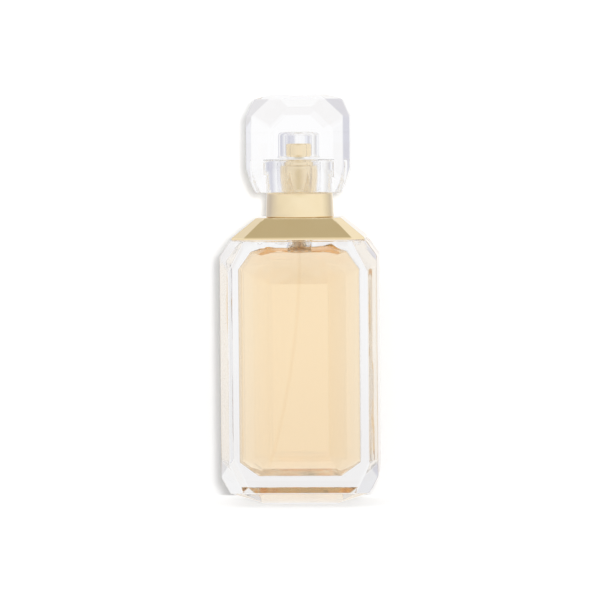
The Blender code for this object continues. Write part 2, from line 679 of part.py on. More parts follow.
def build_ferrule():
    """The thin cup crimped under the bead, and the seal on top of the neck."""
    lip = (THROAT_RADIUS + FERRULE_INNER) / 2
    edge = FERRULE_WALL
    profile = [(FERRULE_HOLE_RADIUS, FERRULE_TOP)]
    profile += arc(FERRULE_RADIUS - edge, FERRULE_TOP - edge, edge, 90, 0, COARSE_ARC)
    profile += arc(FERRULE_RADIUS - edge, FERRULE_BOTTOM + edge, edge, 0, -90, COARSE_ARC)
    profile += [
        (lip, FERRULE_BOTTOM),
        (lip, FERRULE_BOTTOM + FERRULE_WALL),
        (FERRULE_INNER, FERRULE_BOTTOM + FERRULE_WALL),
        (FERRULE_INNER, FERRULE_TOP - FERRULE_WALL),
        (FERRULE_HOLE_RADIUS, FERRULE_TOP - FERRULE_WALL),
    ]
    add_part("crimp_ferrule", turned_mesh("crimp_ferrule", profile, COARSE_STEPS), ALUMINIUM, BOTTLE)

    seal = [
        (BEAD_RADIUS, GASKET_TOP),
        (BEAD_RADIUS, GASKET_BOTTOM),
        (BORE_RADIUS, GASKET_BOTTOM),
        (BORE_RADIUS, GASKET_TOP),
    ]
    add_part("neck_gasket", turned_mesh("neck_gasket", seal, COARSE_STEPS), RUBBER, BOTTLE)


def build_pump_body():
    """The fixed pieces of the pump: housing, cover, stem seal and ball retainer."""
    groove = CHAMBER_FLOOR - CHAMBER_WALL
    housing = [
        (BEAD_RADIUS, FLANGE_TOP),
        (BEAD_RADIUS, FLANGE_BOTTOM),
        (HOUSING_RADIUS, FLANGE_BOTTOM),
        (HOUSING_RADIUS, HOUSING_BOTTOM),
        (CHAMBER_RADIUS, HOUSING_BOTTOM),
        (CHAMBER_RADIUS, groove),
        (TAIL_RADIUS, groove),
        (TAIL_RADIUS, HOUSING_BOTTOM),
        (TUBE_HOLE_RADIUS, HOUSING_BOTTOM),
        (TUBE_HOLE_RADIUS, BALL_SEAT),
        (CAGE_RADIUS, BALL_CENTRE),
        (CAGE_RADIUS, CHAMBER_FLOOR),
        (CHAMBER_RADIUS, CHAMBER_FLOOR),
        (CHAMBER_RADIUS, GASKET_STEP),
        (MOUTH_RADIUS, GASKET_STEP),
        (MOUTH_RADIUS, FLANGE_TOP),
    ]
    add_part("pump_housing", turned_mesh("pump_housing", housing, COARSE_STEPS), WHITE_PLASTIC, BOTTLE)

    plug = MOUTH_RADIUS - RUN_GAP
    cover = [
        (TURRET_RADIUS, TURRET_TOP),
        (TURRET_RADIUS, COVER_TOP),
        (BEAD_RADIUS, COVER_TOP),
        (BEAD_RADIUS, COVER_BOTTOM),
        (plug, COVER_BOTTOM),
        (plug, COVER_BOTTOM - COVER_PLUG),
        (STEM_HOLE_RADIUS, COVER_BOTTOM - COVER_PLUG),
        (STEM_HOLE_RADIUS, TURRET_TOP),
    ]
    add_part("pump_cover", turned_mesh("pump_cover", cover, COARSE_STEPS), WHITE_PLASTIC, BOTTLE)

    seal = [
        (plug, STEM_GASKET_TOP),
        (plug, STEM_GASKET_BOTTOM),
        (STEM_HOLE_RADIUS, STEM_GASKET_BOTTOM),
        (STEM_HOLE_RADIUS, STEM_GASKET_TOP),
    ]
    add_part("stem_gasket", turned_mesh("stem_gasket", seal, COARSE_STEPS), RUBBER, BOTTLE)

    hole = BALL_RADIUS - RETAINER_LAP
    retainer = [
        (CHAMBER_RADIUS - RUN_GAP, RETAINER_TOP),
        (CHAMBER_RADIUS - RUN_GAP, RETAINER_BOTTOM),
        (hole, RETAINER_BOTTOM),
        (hole, RETAINER_TOP),
    ]
    add_part("ball_retainer", turned_mesh("ball_retainer", retainer, COARSE_STEPS), WHITE_PLASTIC, BOTTLE)


def build_plunger():
    """The pieces that go down with the button: stem and piston, with the spring under them."""
    foot = (STEM_RADIUS + CHAMBER_RADIUS) / 2
    stem = [
        (STEM_RADIUS, STEM_TOP),
        (STEM_RADIUS, STEM_FOOT_TOP),
        (foot, STEM_FOOT_TOP),
        (foot, STEM_BOTTOM),
        (STEM_BORE_RADIUS, STEM_BOTTOM),
        (STEM_BORE_RADIUS, STEM_TOP),
    ]
    add_part("pump_stem", turned_mesh("pump_stem", stem, COARSE_STEPS), WHITE_PLASTIC, PLUNGER)

    wiper = CHAMBER_RADIUS - RUN_GAP
    waist = wiper - PISTON_WAIST
    piston = [
        (wiper, PISTON_TOP),
        (wiper, PISTON_TOP - PISTON_LIP),
        (waist, PISTON_TOP - PISTON_LIP - PISTON_WAIST),
        (waist, PISTON_BOTTOM + PISTON_LIP + PISTON_WAIST),
        (wiper, PISTON_BOTTOM + PISTON_LIP),
        (wiper, PISTON_BOTTOM),
        (STEM_HOLE_RADIUS, PISTON_BOTTOM),
        (STEM_HOLE_RADIUS, PISTON_TOP),
    ]
    add_part("pump_piston", turned_mesh("pump_piston", piston, COARSE_STEPS), GREY_PLASTIC, PLUNGER)

    wire = SPRING_WIRE_RADIUS
    coil = foot - wire
    low = SPRING_BOTTOM + wire
    high = SPRING_TOP - wire
    closed_rise = 2 * wire
    open_rise = (high - low - 2 * SPRING_END_TURNS * closed_rise) / SPRING_TURNS
    ends = [closed_rise / COIL_STEPS] * (SPRING_END_TURNS * COIL_STEPS)
    rises = [0.0] + ends + [open_rise / COIL_STEPS] * (SPRING_TURNS * COIL_STEPS) + ends
    points = []
    height = low
    for i, rise in enumerate(rises):
        height += rise
        angle = tau * i / COIL_STEPS
        points.append((coil * cos(angle), coil * sin(angle), height))
    add_part("return_spring", path_mesh("return_spring", points, wire, capped=True), STEEL, BOTTLE)


def build_ball():
    """The ball of the inlet valve."""
    bm = bmesh.new()
    bmesh.ops.create_icosphere(bm, subdivisions=BALL_DETAIL, radius=BALL_RADIUS)
    bmesh.ops.translate(bm, vec=(0.0, 0.0, BALL_CENTRE), verts=bm.verts)
    mesh = bpy.data.meshes.new("inlet_ball")
    bm.to_mesh(mesh)
    bm.free()
    add_part("inlet_ball", shade_round(mesh), STEEL, BALL)


def side_cutter(name, radius, start, end):
    """A round cutter that lies along Y between two distances from the axis."""
    profile = [(0.0, end), (radius, end), (radius, start), (0.0, start)]
    cutter = add_cutter(name, turned_mesh(name, profile, COARSE_STEPS))
    cutter.rotation_euler.x = SIDEWAYS
    return cutter


def build_button():
    """The spray button: gold cover, moulded core and the orifice insert in its side, which faces back."""
    edge = BUTTON_EDGE
    inner = BUTTON_RADIUS - BUTTON_WALL
    profile = [(0.0, BUTTON_TOP)]
    profile += arc(BUTTON_RADIUS - edge, BUTTON_TOP - edge, edge, 90, 0)
    profile += [
        (BUTTON_RADIUS, BUTTON_BOTTOM),
        (inner, BUTTON_BOTTOM),
        (inner, BUTTON_TOP - BUTTON_WALL),
        (0.0, BUTTON_TOP - BUTTON_WALL),
    ]
    shell = add_part("actuator_shell", turned_mesh("actuator_shell", profile, FINE_STEPS), GOLD, BUTTON)

    boss = STEM_HOLE_RADIUS + CORE_BOSS_WALL
    skirt = CORE_RADIUS - CORE_SKIRT
    profile = [
        (0.0, CORE_TOP),
        (CORE_RADIUS, CORE_TOP),
        (CORE_RADIUS, CORE_BOTTOM),
        (skirt, CORE_BOTTOM),
        (skirt, CORE_FLOOR),
        (boss, CORE_FLOOR),
        (boss, CORE_BOTTOM),
        (STEM_HOLE_RADIUS, CORE_BOTTOM),
        (STEM_HOLE_RADIUS, SOCKET_TOP),
        (0.0, SOCKET_TOP),
    ]
    mesh = turned_mesh("actuator_core", profile, COARSE_STEPS)
    core = add_part("actuator_core", mesh, WHITE_PLASTIC, BUTTON)

    height = BUTTON_TOP - NOZZLE_DROP
    face = BUTTON_RADIUS + NOZZLE_PROUD
    back = face - NOZZLE_LENGTH
    pocket = side_cutter("nozzle_pocket", NOZZLE_RADIUS + RUN_GAP, back - RUN_GAP, face + NOZZLE_LENGTH)
    pocket.location.z = height
    channel = side_cutter("feed_channel", CHANNEL_RADIUS, 0.0, back)
    channel.location.z = SOCKET_TOP - CHANNEL_RADIUS - RUN_GAP
    insert = [
        (NOZZLE_RADIUS, face),
        (NOZZLE_RADIUS, back),
        (ORIFICE_RADIUS, back),
        (ORIFICE_RADIUS, face - NOZZLE_CONE),
        (ORIFICE_RADIUS + NOZZLE_CONE, face),
    ]
    mesh = turned_mesh("spray_nozzle", insert, COARSE_STEPS)
    nozzle = add_part("spray_nozzle", mesh, WHITE_PLASTIC, BUTTON)
    nozzle.rotation_euler.x = SIDEWAYS
    nozzle.location.z = height - frame_height(BUTTON)
    boolean(shell, pocket, "DIFFERENCE")
    boolean(core, pocket, "DIFFERENCE")
    boolean(core, channel, "DIFFERENCE")


def build_cap():
    """The faceted cap with its stepped bore, and the sleeve in it that grips the collar."""
    cap = add_part("cap_crystal", hull_mesh("cap_crystal", cap_outside()), CLEAR_CAP, CAP)
    fillet = CAP_BORE_FILLET
    bore = [(0.0, CAP_BORE_TOP)]
    bore += arc(CAP_UPPER_BORE - fillet, CAP_BORE_TOP - fillet, fillet, 90, 0)
    bore += arc(CAP_UPPER_BORE + fillet, CAP_BORE_STEP + fillet, fillet, 180, 270)
    bore += [
        (CAP_LOWER_BORE, CAP_BORE_STEP),
        (CAP_LOWER_BORE, CAP_BOTTOM - CAP_FOOT_HEIGHT),
        (0.0, CAP_BOTTOM - CAP_FOOT_HEIGHT),
    ]
    boolean(cap, add_cutter("cap_bore", turned_mesh("cap_bore", bore, FINE_STEPS)), "DIFFERENCE")

    middle = (LINER_BOTTOM + LINER_TOP) / 2
    bead = LINER_INNER - LINER_BEAD
    liner = [
        (LINER_RADIUS, LINER_TOP),
        (LINER_RADIUS, LINER_BOTTOM),
        (LINER_INNER, LINER_BOTTOM),
        (LINER_INNER, middle - LINER_WALL),
        (bead, middle),
        (LINER_INNER, middle + LINER_WALL),
        (LINER_INNER, LINER_TOP),
    ]
    add_part("cap_liner", turned_mesh("cap_liner", liner, FINE_STEPS), CLEAR_PLASTIC, CAP)


GIRDLE_LOWER = girdle_corners(GIRDLE_BOTTOM + TABLE_RISE, GIRDLE_BOTTOM)
GIRDLE_UPPER = girdle_corners(GIRDLE_TOP - TABLE_DROP, GIRDLE_TOP)

clear_scene()
PARTS = new_collection("perfume_bottle")
CUTTERS = new_collection("perfume_bottle_cutters")

CLEAR_GLASS = make_material("clear_glass", (0.97, 0.98, 0.98), 0.02, transmission=1.0, ior=1.52)
CLEAR_CAP = make_material("clear_cap_resin", (0.98, 0.98, 0.99), 0.02, transmission=1.0, ior=1.49)
CLEAR_PLASTIC = make_material("clear_plastic", (0.96, 0.96, 0.95), 0.08, transmission=0.9, ior=1.49)
AMBER_LIQUID = make_material("amber_liquid", (0.96, 0.78, 0.52), 0.0, transmission=1.0, ior=1.36)
GOLD = make_material("polished_gold", (0.80, 0.62, 0.30), 0.15, metallic=1.0)
ALUMINIUM = make_material("anodised_aluminium", (0.75, 0.62, 0.36), 0.3, metallic=1.0)
STEEL = make_material("stainless_steel", (0.62, 0.62, 0.62), 0.25, metallic=1.0)
WHITE_PLASTIC = make_material("white_moulding", (0.85, 0.85, 0.83), 0.4)
GREY_PLASTIC = make_material("grey_moulding", (0.55, 0.56, 0.57), 0.4)
RUBBER = make_material("nitrile_seal", (0.08, 0.08, 0.08), 0.7)

BOTTLE = axis_frame("bottle_base", 0.0)
CAP = axis_frame("cap_travel", CAP_BOTTOM, BOTTLE)
PLUNGER = axis_frame("plunger_travel", STEM_BOTTOM, BOTTLE)
BUTTON = axis_frame("button_swivel", BUTTON_BOTTOM, PLUNGER)
BALL = axis_frame("ball_travel", BALL_CENTRE, BOTTLE)

build_flacon()
build_fill()
build_dip_tube()
build_plate()
build_collar()
build_ferrule()
build_pump_body()
build_plunger()
build_ball()
build_button()
build_cap()
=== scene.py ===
"""Looks of the perfume bottle: its clear, gold and moulded pieces, their finishes, the studio and the camera.

Fields that end in _mm are in millimetres, and become metres where a mesh or a material is built. Heights and
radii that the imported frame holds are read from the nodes' boxes, so the pieces sit where the CAD nodes do.
"""

import logging
from abc import ABC, abstractmethod
from dataclasses import dataclass
from enum import Enum
from math import cos, inf, pi, radians, sin, tau
from typing import Any

import bmesh
import bpy
from mathutils import Matrix, Vector


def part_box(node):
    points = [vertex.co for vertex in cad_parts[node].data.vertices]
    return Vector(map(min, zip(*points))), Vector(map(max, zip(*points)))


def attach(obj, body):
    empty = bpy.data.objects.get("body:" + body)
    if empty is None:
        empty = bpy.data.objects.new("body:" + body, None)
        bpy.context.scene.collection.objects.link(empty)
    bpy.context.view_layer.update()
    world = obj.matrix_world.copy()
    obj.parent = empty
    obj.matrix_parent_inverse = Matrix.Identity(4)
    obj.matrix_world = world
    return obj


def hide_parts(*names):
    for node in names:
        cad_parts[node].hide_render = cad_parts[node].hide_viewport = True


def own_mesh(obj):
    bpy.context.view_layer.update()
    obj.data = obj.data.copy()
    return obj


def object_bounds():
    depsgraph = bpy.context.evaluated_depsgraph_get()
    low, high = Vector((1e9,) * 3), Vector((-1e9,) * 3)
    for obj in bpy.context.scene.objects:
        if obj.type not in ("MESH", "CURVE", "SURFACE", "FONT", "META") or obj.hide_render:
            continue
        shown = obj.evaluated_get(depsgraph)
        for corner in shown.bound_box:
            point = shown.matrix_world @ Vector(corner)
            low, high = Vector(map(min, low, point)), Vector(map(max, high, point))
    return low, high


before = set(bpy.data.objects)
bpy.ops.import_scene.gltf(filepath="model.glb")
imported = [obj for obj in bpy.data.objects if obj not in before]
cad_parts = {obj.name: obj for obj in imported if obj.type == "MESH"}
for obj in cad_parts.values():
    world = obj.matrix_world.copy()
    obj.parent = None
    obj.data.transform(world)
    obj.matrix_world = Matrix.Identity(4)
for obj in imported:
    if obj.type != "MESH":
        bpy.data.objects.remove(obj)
CAD_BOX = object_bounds()

LOG = logging.getLogger("perfume_bottle")

MM = 0.001
WHITE = "#FFFFFF"

# Corners closer than this are joined, and faces that turn by less than this are one flat
WELD = 0.002 * MM
FLAT_ANGLE = radians(0.4)
# The least that a cut edge turns, and that a crisp corner of a smooth face turns
FACET_ANGLE = radians(4)
SHARP_ANGLE = radians(30)
# Straight pieces across a softened edge, and round a corner of a turned profile
EDGE_SEGMENTS = 3
CORNER_STEPS = 6

# The middle of a noise's range, and the part of the range that it mostly keeps to
NOISE_MIDDLE = 0.5
NOISE_SPREAD = (0.3, 0.7)
# How much fine structure each pattern has
RIPPLE_DETAIL = 0.5
CLOUD_DETAIL = 2.0
TEXTURE_DETAIL = 3.0
MARK_DETAIL = 4.0
# How squarely a clear face looks to the front or back where its ripple starts, and where it is full
RIPPLE_FACING = (0.97, 0.8)
# The part of the noise's range over which haze comes up
HAZE_SPREAD = (0.45, 0.8)
# Height over which the stronger ripple at the mould's closing comes up
CLOSING_RAMP_MM = 2.0
# Place of straight behind on a ramp that goes once round the object, and the degrees in that round
BEHIND = 0.5
ROUND_DEG = 360

Shape = bmesh.types.BMesh
Tree = bpy.types.NodeTree
Socket = bpy.types.NodeSocket
Profile = list[tuple[float, float]]


class Body(Enum):
    """The bodies of the frame that pieces ride on."""

    BOTTLE = "bottle"
    BUTTON = "button"
    CAP = "cap"


class Slot(Enum):
    """Names of material slots."""

    GLASS = "clear_glass"
    CAP_RESIN = "clear_cap_resin"
    CLEAR_PLASTIC = "clear_plastic"
    LIQUID = "amber_liquid"
    GOLD = "polished_gold"
    STEEL = "stainless_steel"


class Marks(Enum):
    """How the marks of working lie on a surface, as the stretch of their pattern along X, Y and Z."""

    EVEN = (1.0, 1.0, 1.0)
    DRAWN = (1.0, 1.0, 0.3)
    TURNED = (0.02, 0.02, 1.0)


def linear(code: str) -> tuple[float, float, float, float]:
    """Turns an sRGB hex colour to linear values.

    Args:
        code: The colour as #RRGGBB.

    Returns:
        Red, green, blue and an alpha of 1.
    """
    shares = [int(code[start:start + 2], 16) / 255 for start in (1, 3, 5)]
    red, green, blue = (s / 12.92 if s <= 0.04045 else ((s + 0.055) / 1.055) ** 2.4 for s in shares)
    return red, green, blue, 1.0


def add_node(
    tree: Tree,
    kind: str,
    settings: dict[str | int, Any] | None = None,
    links: dict[str | int, Socket] | None = None,
) -> bpy.types.Node:
    """Adds a node with its settings and links.

    Args:
        tree: The node tree to add to.
        kind: The node's type.
        settings: Properties by name, and input values by the input's name or number.
        links: Sockets that feed the inputs of that name or number.

    Returns:
        The new node.
    """
    node = tree.nodes.new(kind)
    for key, value in (settings or {}).items():
        if isinstance(key, str) and hasattr(node, key):
            setattr(node, key, value)
        else:
            node.inputs[key].default_value = value
    for key, socket in (links or {}).items():
        tree.links.new(socket, node.inputs[key])
    return node


def blank_material(name: str) -> bpy.types.Material:
    """Makes a material with an empty node tree.

    Args:
        name: The material's name.

    Returns:
        The new material.
    """
    material = bpy.data.materials.new(name)
    material.use_nodes = True
    material.node_tree.nodes.clear()
    return material


class Finish(ABC):
    """Anything that can make a material."""

    name: str

    @abstractmethod
    def dress(self, tree: Tree) -> None:
        """Fills the material's empty node tree."""

    def material(self) -> bpy.types.Material:
        """Gives the finish as a Blender material.

        Returns:
            The material, which is made the first time it is asked for.
        """
        made = bpy.data.materials.get(self.name)
        if made is None:
            made = blank_material(self.name)
            self.dress(made.node_tree)
        return made


@dataclass(frozen=True)
class ClearFinish(Finish):
    """A clear solid with a ripple from the mould on its slanted faces and a trace of haze on its polish.

    A thick one may deepen in tone along the light's path, and ripple more from a height upwards, where the
    mould closes.
    """

    name: str
    tint: str
    ior: float
    ripple_mm: float
    ripple_depth_mm: float
    haze: float
    haze_mm: float
    body_tint: str = WHITE
    density: float = 0.0
    closing_mm: float = 1000.0
    closing_gain: float = 0.0

    def ripple_share(self, tree: Tree, facing: Socket, place: Socket) -> Socket:
        """Works out how much of the ripple each spot has.

        Args:
            tree: The material's node tree.
            facing: The surface's direction.
            place: The spot on the object.

        Returns:
            0 on a flat front or back, 1 on a slanted face, and the gain on top of that above the closing.
        """
        across = add_node(tree, "ShaderNodeSeparateXYZ", None, {"Vector": facing}).outputs["Y"]
        flat = add_node(tree, "ShaderNodeMath", {"operation": "ABSOLUTE"}, {0: across})
        slant = add_node(
            tree,
            "ShaderNodeMapRange",
            {"From Min": RIPPLE_FACING[0], "From Max": RIPPLE_FACING[1]},
            {"Value": flat.outputs["Value"]},
        )
        height = add_node(tree, "ShaderNodeSeparateXYZ", None, {"Vector": place}).outputs["Z"]
        gain = add_node(
            tree,
            "ShaderNodeMapRange",
            {
                "From Min": self.closing_mm * MM,
                "From Max": (self.closing_mm + CLOSING_RAMP_MM) * MM,
                "To Max": self.closing_gain,
            },
            {"Value": height},
        )
        return add_node(
            tree,
            "ShaderNodeMath",
            {"operation": "ADD"},
            {0: slant.outputs["Result"], 1: gain.outputs["Result"]},
        ).outputs["Value"]

    def ripple(self, tree: Tree, facing: Socket, place: Socket) -> Socket:
        """Bends the surface by the mould's ripple.

        Args:
            tree: The material's node tree.
            facing: The surface's direction.
            place: The spot on the object.

        Returns:
            The bent normal.
        """
        drawn = add_node(tree, "ShaderNodeMapping", {"Scale": Marks.DRAWN.value}, {"Vector": place})
        noise = add_node(
            tree,
            "ShaderNodeTexNoise",
            {"Scale": 1 / (self.ripple_mm * MM), "Detail": RIPPLE_DETAIL},
            {"Vector": drawn.outputs["Vector"]},
        )
        level = add_node(
            tree,
            "ShaderNodeMath",
            {"operation": "SUBTRACT", 1: NOISE_MIDDLE},
            {0: noise.outputs["Fac"]},
        )
        waves = add_node(
            tree,
            "ShaderNodeMath",
            {"operation": "MULTIPLY"},
            {0: level.outputs["Value"], 1: self.ripple_share(tree, facing, place)},
        )
        return add_node(
            tree,
            "ShaderNodeBump",
            {"Strength": 1.0, "Distance": self.ripple_depth_mm * MM},
            {"Height": waves.outputs["Value"]},
        ).outputs["Normal"]

    def dress(self, tree: Tree) -> None:
        """Fills the material's empty node tree.

        Args:
            tree: The tree.
        """
        spot = add_node(tree, "ShaderNodeTexCoord").outputs
        smear = add_node(
            tree,
            "ShaderNodeTexNoise",
            {"Scale": 1 / (self.haze_mm * MM), "Detail": TEXTURE_DETAIL},
            {"Vector": spot["Object"]},
        )
        haze = add_node(
            tree,
            "ShaderNodeMapRange",
            {"From Min": HAZE_SPREAD[0], "From Max": HAZE_SPREAD[1], "To Max": self.haze},
            {"Value": smear.outputs["Fac"]},
        )
        shader = add_node(
            tree,
            "ShaderNodeBsdfPrincipled",
            {"Base Color": linear(self.tint), "Transmission Weight": 1.0, "IOR": self.ior},
            {
                "Roughness": haze.outputs["Result"],
                "Normal": self.ripple(tree, spot["Normal"], spot["Object"]),
            },
        )
        links = {"Surface": shader.outputs["BSDF"]}
        if self.density:
            depth = add_node(
                tree,
                "ShaderNodeVolumeAbsorption",
                {"Color": linear(self.body_tint), "Density": self.density},
            )
            links["Volume"] = depth.outputs["Volume"]
        add_node(tree, "ShaderNodeOutputMaterial", None, links)


@dataclass(frozen=True)
class LiquidFinish(Finish):
    """A clear coloured liquid, paler where it is thin."""

    name: str
    tint: str
    ior: float
    body_tint: str
    density: float

    def dress(self, tree: Tree) -> None:
        """Fills the material's empty node tree.

        Args:
            tree: The tree.
        """
        shader = add_node(
            tree,
            "ShaderNodeBsdfPrincipled",
            {
                "Base Color": linear(self.tint),
                "Roughness": 0.0,
                "Transmission Weight": 1.0,
                "IOR": self.ior,
            },
        )
        depth = add_node(
            tree,
            "ShaderNodeVolumeAbsorption",
            {"Color": linear(self.body_tint), "Density": self.density},
        )
        add_node(
            tree,
            "ShaderNodeOutputMaterial",
            None,
            {"Surface": shader.outputs["BSDF"], "Volume": depth.outputs["Volume"]},
        )


@dataclass(frozen=True)
class WorkedFinish(Finish):
    """A surface whose colour wanders between two tones and whose gloss follows its grain."""

    name: str
    light: str
    deep: str
    roughness: tuple[float, float]

    def shade(
        self, tree: Tree, blend: Socket, grain: Socket, depth_mm: float, settings: dict[str | int, Any]
    ) -> None:
        """Adds the shader.

        Args:
            tree: The material's node tree.
            blend: Share of the light tone.
            grain: Height of the grain, from 0 to 1.
            depth_mm: Depth of the grain.
            settings: The shader's own values.
        """
        tone = add_node(
            tree,
            "ShaderNodeMix",
            {"data_type": "RGBA", 6: linear(self.deep), 7: linear(self.light)},
            {0: blend},
        )
        gloss = add_node(
            tree,
            "ShaderNodeMapRange",
            {
                "From Min": NOISE_SPREAD[0],
                "From Max": NOISE_SPREAD[1],
                "To Min": self.roughness[0],
                "To Max": self.roughness[1],
            },
            {"Value": grain},
        )
        bump = add_node(
            tree, "ShaderNodeBump", {"Strength": 1.0, "Distance": depth_mm * MM}, {"Height": grain}
        )
        shader = add_node(
            tree,
            "ShaderNodeBsdfPrincipled",
            settings,
            {
                "Base Color": tone.outputs[2],
                "Roughness": gloss.outputs["Result"],
                "Normal": bump.outputs["Normal"],
            },
        )
        add_node(tree, "ShaderNodeOutputMaterial", None, {"Surface": shader.outputs["BSDF"]})


@dataclass(frozen=True)
class MetalFinish(WorkedFinish):
    """A worked metal with fine marks, and a tone and gloss that wander a little."""

    marks: Marks
    mark_mm: float
    mark_depth_mm: float
    cloud_mm: float

    def dress(self, tree: Tree) -> None:
        """Fills the material's empty node tree.

        Args:
            tree: The tree.
        """
        place = add_node(tree, "ShaderNodeTexCoord").outputs["Object"]
        laid = add_node(tree, "ShaderNodeMapping", {"Scale": self.marks.value}, {"Vector": place})
        fine = add_node(
            tree,
            "ShaderNodeTexNoise",
            {"Scale": 1 / (self.mark_mm * MM), "Detail": MARK_DETAIL},
            {"Vector": laid.outputs["Vector"]},
        ).outputs["Fac"]
        cloud = add_node(
            tree,
            "ShaderNodeTexNoise",
            {"Scale": 1 / (self.cloud_mm * MM), "Detail": CLOUD_DETAIL},
            {"Vector": place},
        ).outputs["Fac"]
        self.shade(tree, cloud, fine, self.mark_depth_mm, {"Metallic": 1.0})


@dataclass(frozen=True)
class MouldedFinish(WorkedFinish):
    """A moulded plastic or rubber with the fine spark texture of its tool."""

    ior: float
    texture_mm: float
    texture_depth_mm: float
    clear: float = 0.0

    def dress(self, tree: Tree) -> None:
        """Fills the material's empty node tree.

        Args:
            tree: The tree.
        """
        place = add_node(tree, "ShaderNodeTexCoord").outputs["Object"]
        spark = add_node(
            tree,
            "ShaderNodeTexNoise",
            {"Scale": 1 / (self.texture_mm * MM), "Detail": TEXTURE_DETAIL},
            {"Vector": place},
        ).outputs["Fac"]
        settings = {"IOR": self.ior, "Transmission Weight": self.clear}
        self.shade(tree, spark, spark, self.texture_depth_mm, settings)


# Pressed and fire-polished flint glass: thick and colourless, with a slow ripple that bends what it shows
FLINT_GLASS = ClearFinish(
    name="pressed_flint_glass",
    tint="#FEFEFE",
    ior=1.52,
    ripple_mm=6.0,
    ripple_depth_mm=0.045,
    haze=0.012,
    haze_mm=14.0,
    body_tint="#7A7784",
    density=2.2,
    closing_mm=97.0,
    closing_gain=34.0,
)
# Moulded ionomer resin: as clear as glass and a little softer at its facets
CAP_RESIN = ClearFinish(
    name="moulded_ionomer_resin",
    tint="#FDFDFE",
    ior=1.5,
    ripple_mm=7.0,
    ripple_depth_mm=0.006,
    haze=0.015,
    haze_mm=10.0,
)
# Moulded clear copolyester sleeve: thin and glossy, so the gold shows through it
CLEAR_SLEEVE = ClearFinish(
    name="moulded_clear_copolyester",
    tint="#FDFDFD",
    ior=1.49,
    ripple_mm=5.0,
    ripple_depth_mm=0.004,
    haze=0.01,
    haze_mm=4.0,
)
# Extruded fluoropolymer tube: its index, given here against the liquid round it, makes it nearly vanish
DIP_TUBE = ClearFinish(
    name="extruded_fluoropolymer",
    tint="#FEFDFB",
    ior=1.003,
    ripple_mm=3.0,
    ripple_depth_mm=0.002,
    haze=0.02,
    haze_mm=6.0,
)
# Perfume: alcohol and water with an amber tint, which deepens along the longer paths
PERFUME = LiquidFinish(
    name="amber_perfume",
    tint="#FFF8ED",
    ior=1.36,
    body_tint="#FCD750",
    density=18.0,
)
# Electroplated pale gold on die-cast zinc: a bright mirror with a faint polish grain
PLATE_GOLD = MetalFinish(
    name="plated_pale_gold_casting",
    light="#F8E8C6",
    deep="#F3DFB8",
    roughness=(0.03, 0.07),
    marks=Marks.EVEN,
    mark_mm=0.6,
    mark_depth_mm=0.0004,
    cloud_mm=9.0,
)
# Bright anodised aluminium, turned: the same pale gold with fine lines round the axis
TURNED_GOLD = MetalFinish(
    name="turned_pale_gold",
    light="#F8E8C6",
    deep="#F3DFB8",
    roughness=(0.04, 0.11),
    marks=Marks.TURNED,
    mark_mm=0.25,
    mark_depth_mm=0.0004,
    cloud_mm=9.0,
)
# Satin gold anodised aluminium, drawn to a cup and crimped: a soft sheen with faint lines round the axis
FERRULE_GOLD = MetalFinish(
    name="satin_anodised_aluminium",
    light="#E4CE9C",
    deep="#D2B984",
    roughness=(0.25, 0.38),
    marks=Marks.TURNED,
    mark_mm=0.3,
    mark_depth_mm=0.0008,
    cloud_mm=6.0,
)
# Drawn stainless steel wire and a ground steel ball: bright and grey, with a fine even grain
SPRING_STEEL = MetalFinish(
    name="bright_stainless_steel",
    light="#D3D2CF",
    deep="#B9B8B5",
    roughness=(0.15, 0.3),
    marks=Marks.EVEN,
    mark_mm=0.2,
    mark_depth_mm=0.0005,
    cloud_mm=3.0,
)
# Moulded natural polypropylene: milky white with a fine spark texture
NATURAL_MOULDING = MouldedFinish(
    name="natural_polypropylene",
    light="#EDECE8",
    deep="#E2E0DA",
    roughness=(0.3, 0.45),
    ior=1.49,
    texture_mm=0.35,
    texture_depth_mm=0.004,
)
# Thin natural polypropylene wall of the pump: lets light through, and takes on the amber round it
PUMP_WALL = MouldedFinish(
    name="translucent_polypropylene",
    light="#FBEFDA",
    deep="#F5E4C6",
    roughness=(0.1, 0.2),
    ior=1.49,
    texture_mm=0.35,
    texture_depth_mm=0.002,
    clear=0.95,
)
# Moulded acetal: white and slicker than the polypropylene
ACETAL = MouldedFinish(
    name="white_acetal",
    light="#EAE9E6",
    deep="#DDDCD8",
    roughness=(0.2, 0.35),
    ior=1.48,
    texture_mm=0.3,
    texture_depth_mm=0.003,
)
# Moulded grey polyethylene of the piston: soft and satin
PISTON_GREY = MouldedFinish(
    name="grey_polyethylene",
    light="#C3C5C7",
    deep="#B4B6B8",
    roughness=(0.35, 0.5),
    ior=1.51,
    texture_mm=0.3,
    texture_depth_mm=0.004,
)
# Pressed nitrile rubber: matt black with a fine grit
NITRILE = MouldedFinish(
    name="nitrile_rubber",
    light="#2C2B2B",
    deep="#1E1D1D",
    roughness=(0.6, 0.8),
    ior=1.52,
    texture_mm=0.25,
    texture_depth_mm=0.006,
)


def merged_copy(node: str) -> Shape:
    """Copies a CAD node's mesh with its corners joined and its flat faces whole.

    Args:
        node: The node's name.

    Returns:
        The copy, in the row frame.
    """
    shape = bmesh.new()
    shape.from_mesh(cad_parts[node].data)
    bmesh.ops.remove_doubles(shape, verts=shape.verts, dist=WELD)
    bmesh.ops.dissolve_limit(shape, angle_limit=FLAT_ANGLE, verts=shape.verts, edges=shape.edges)
    return shape


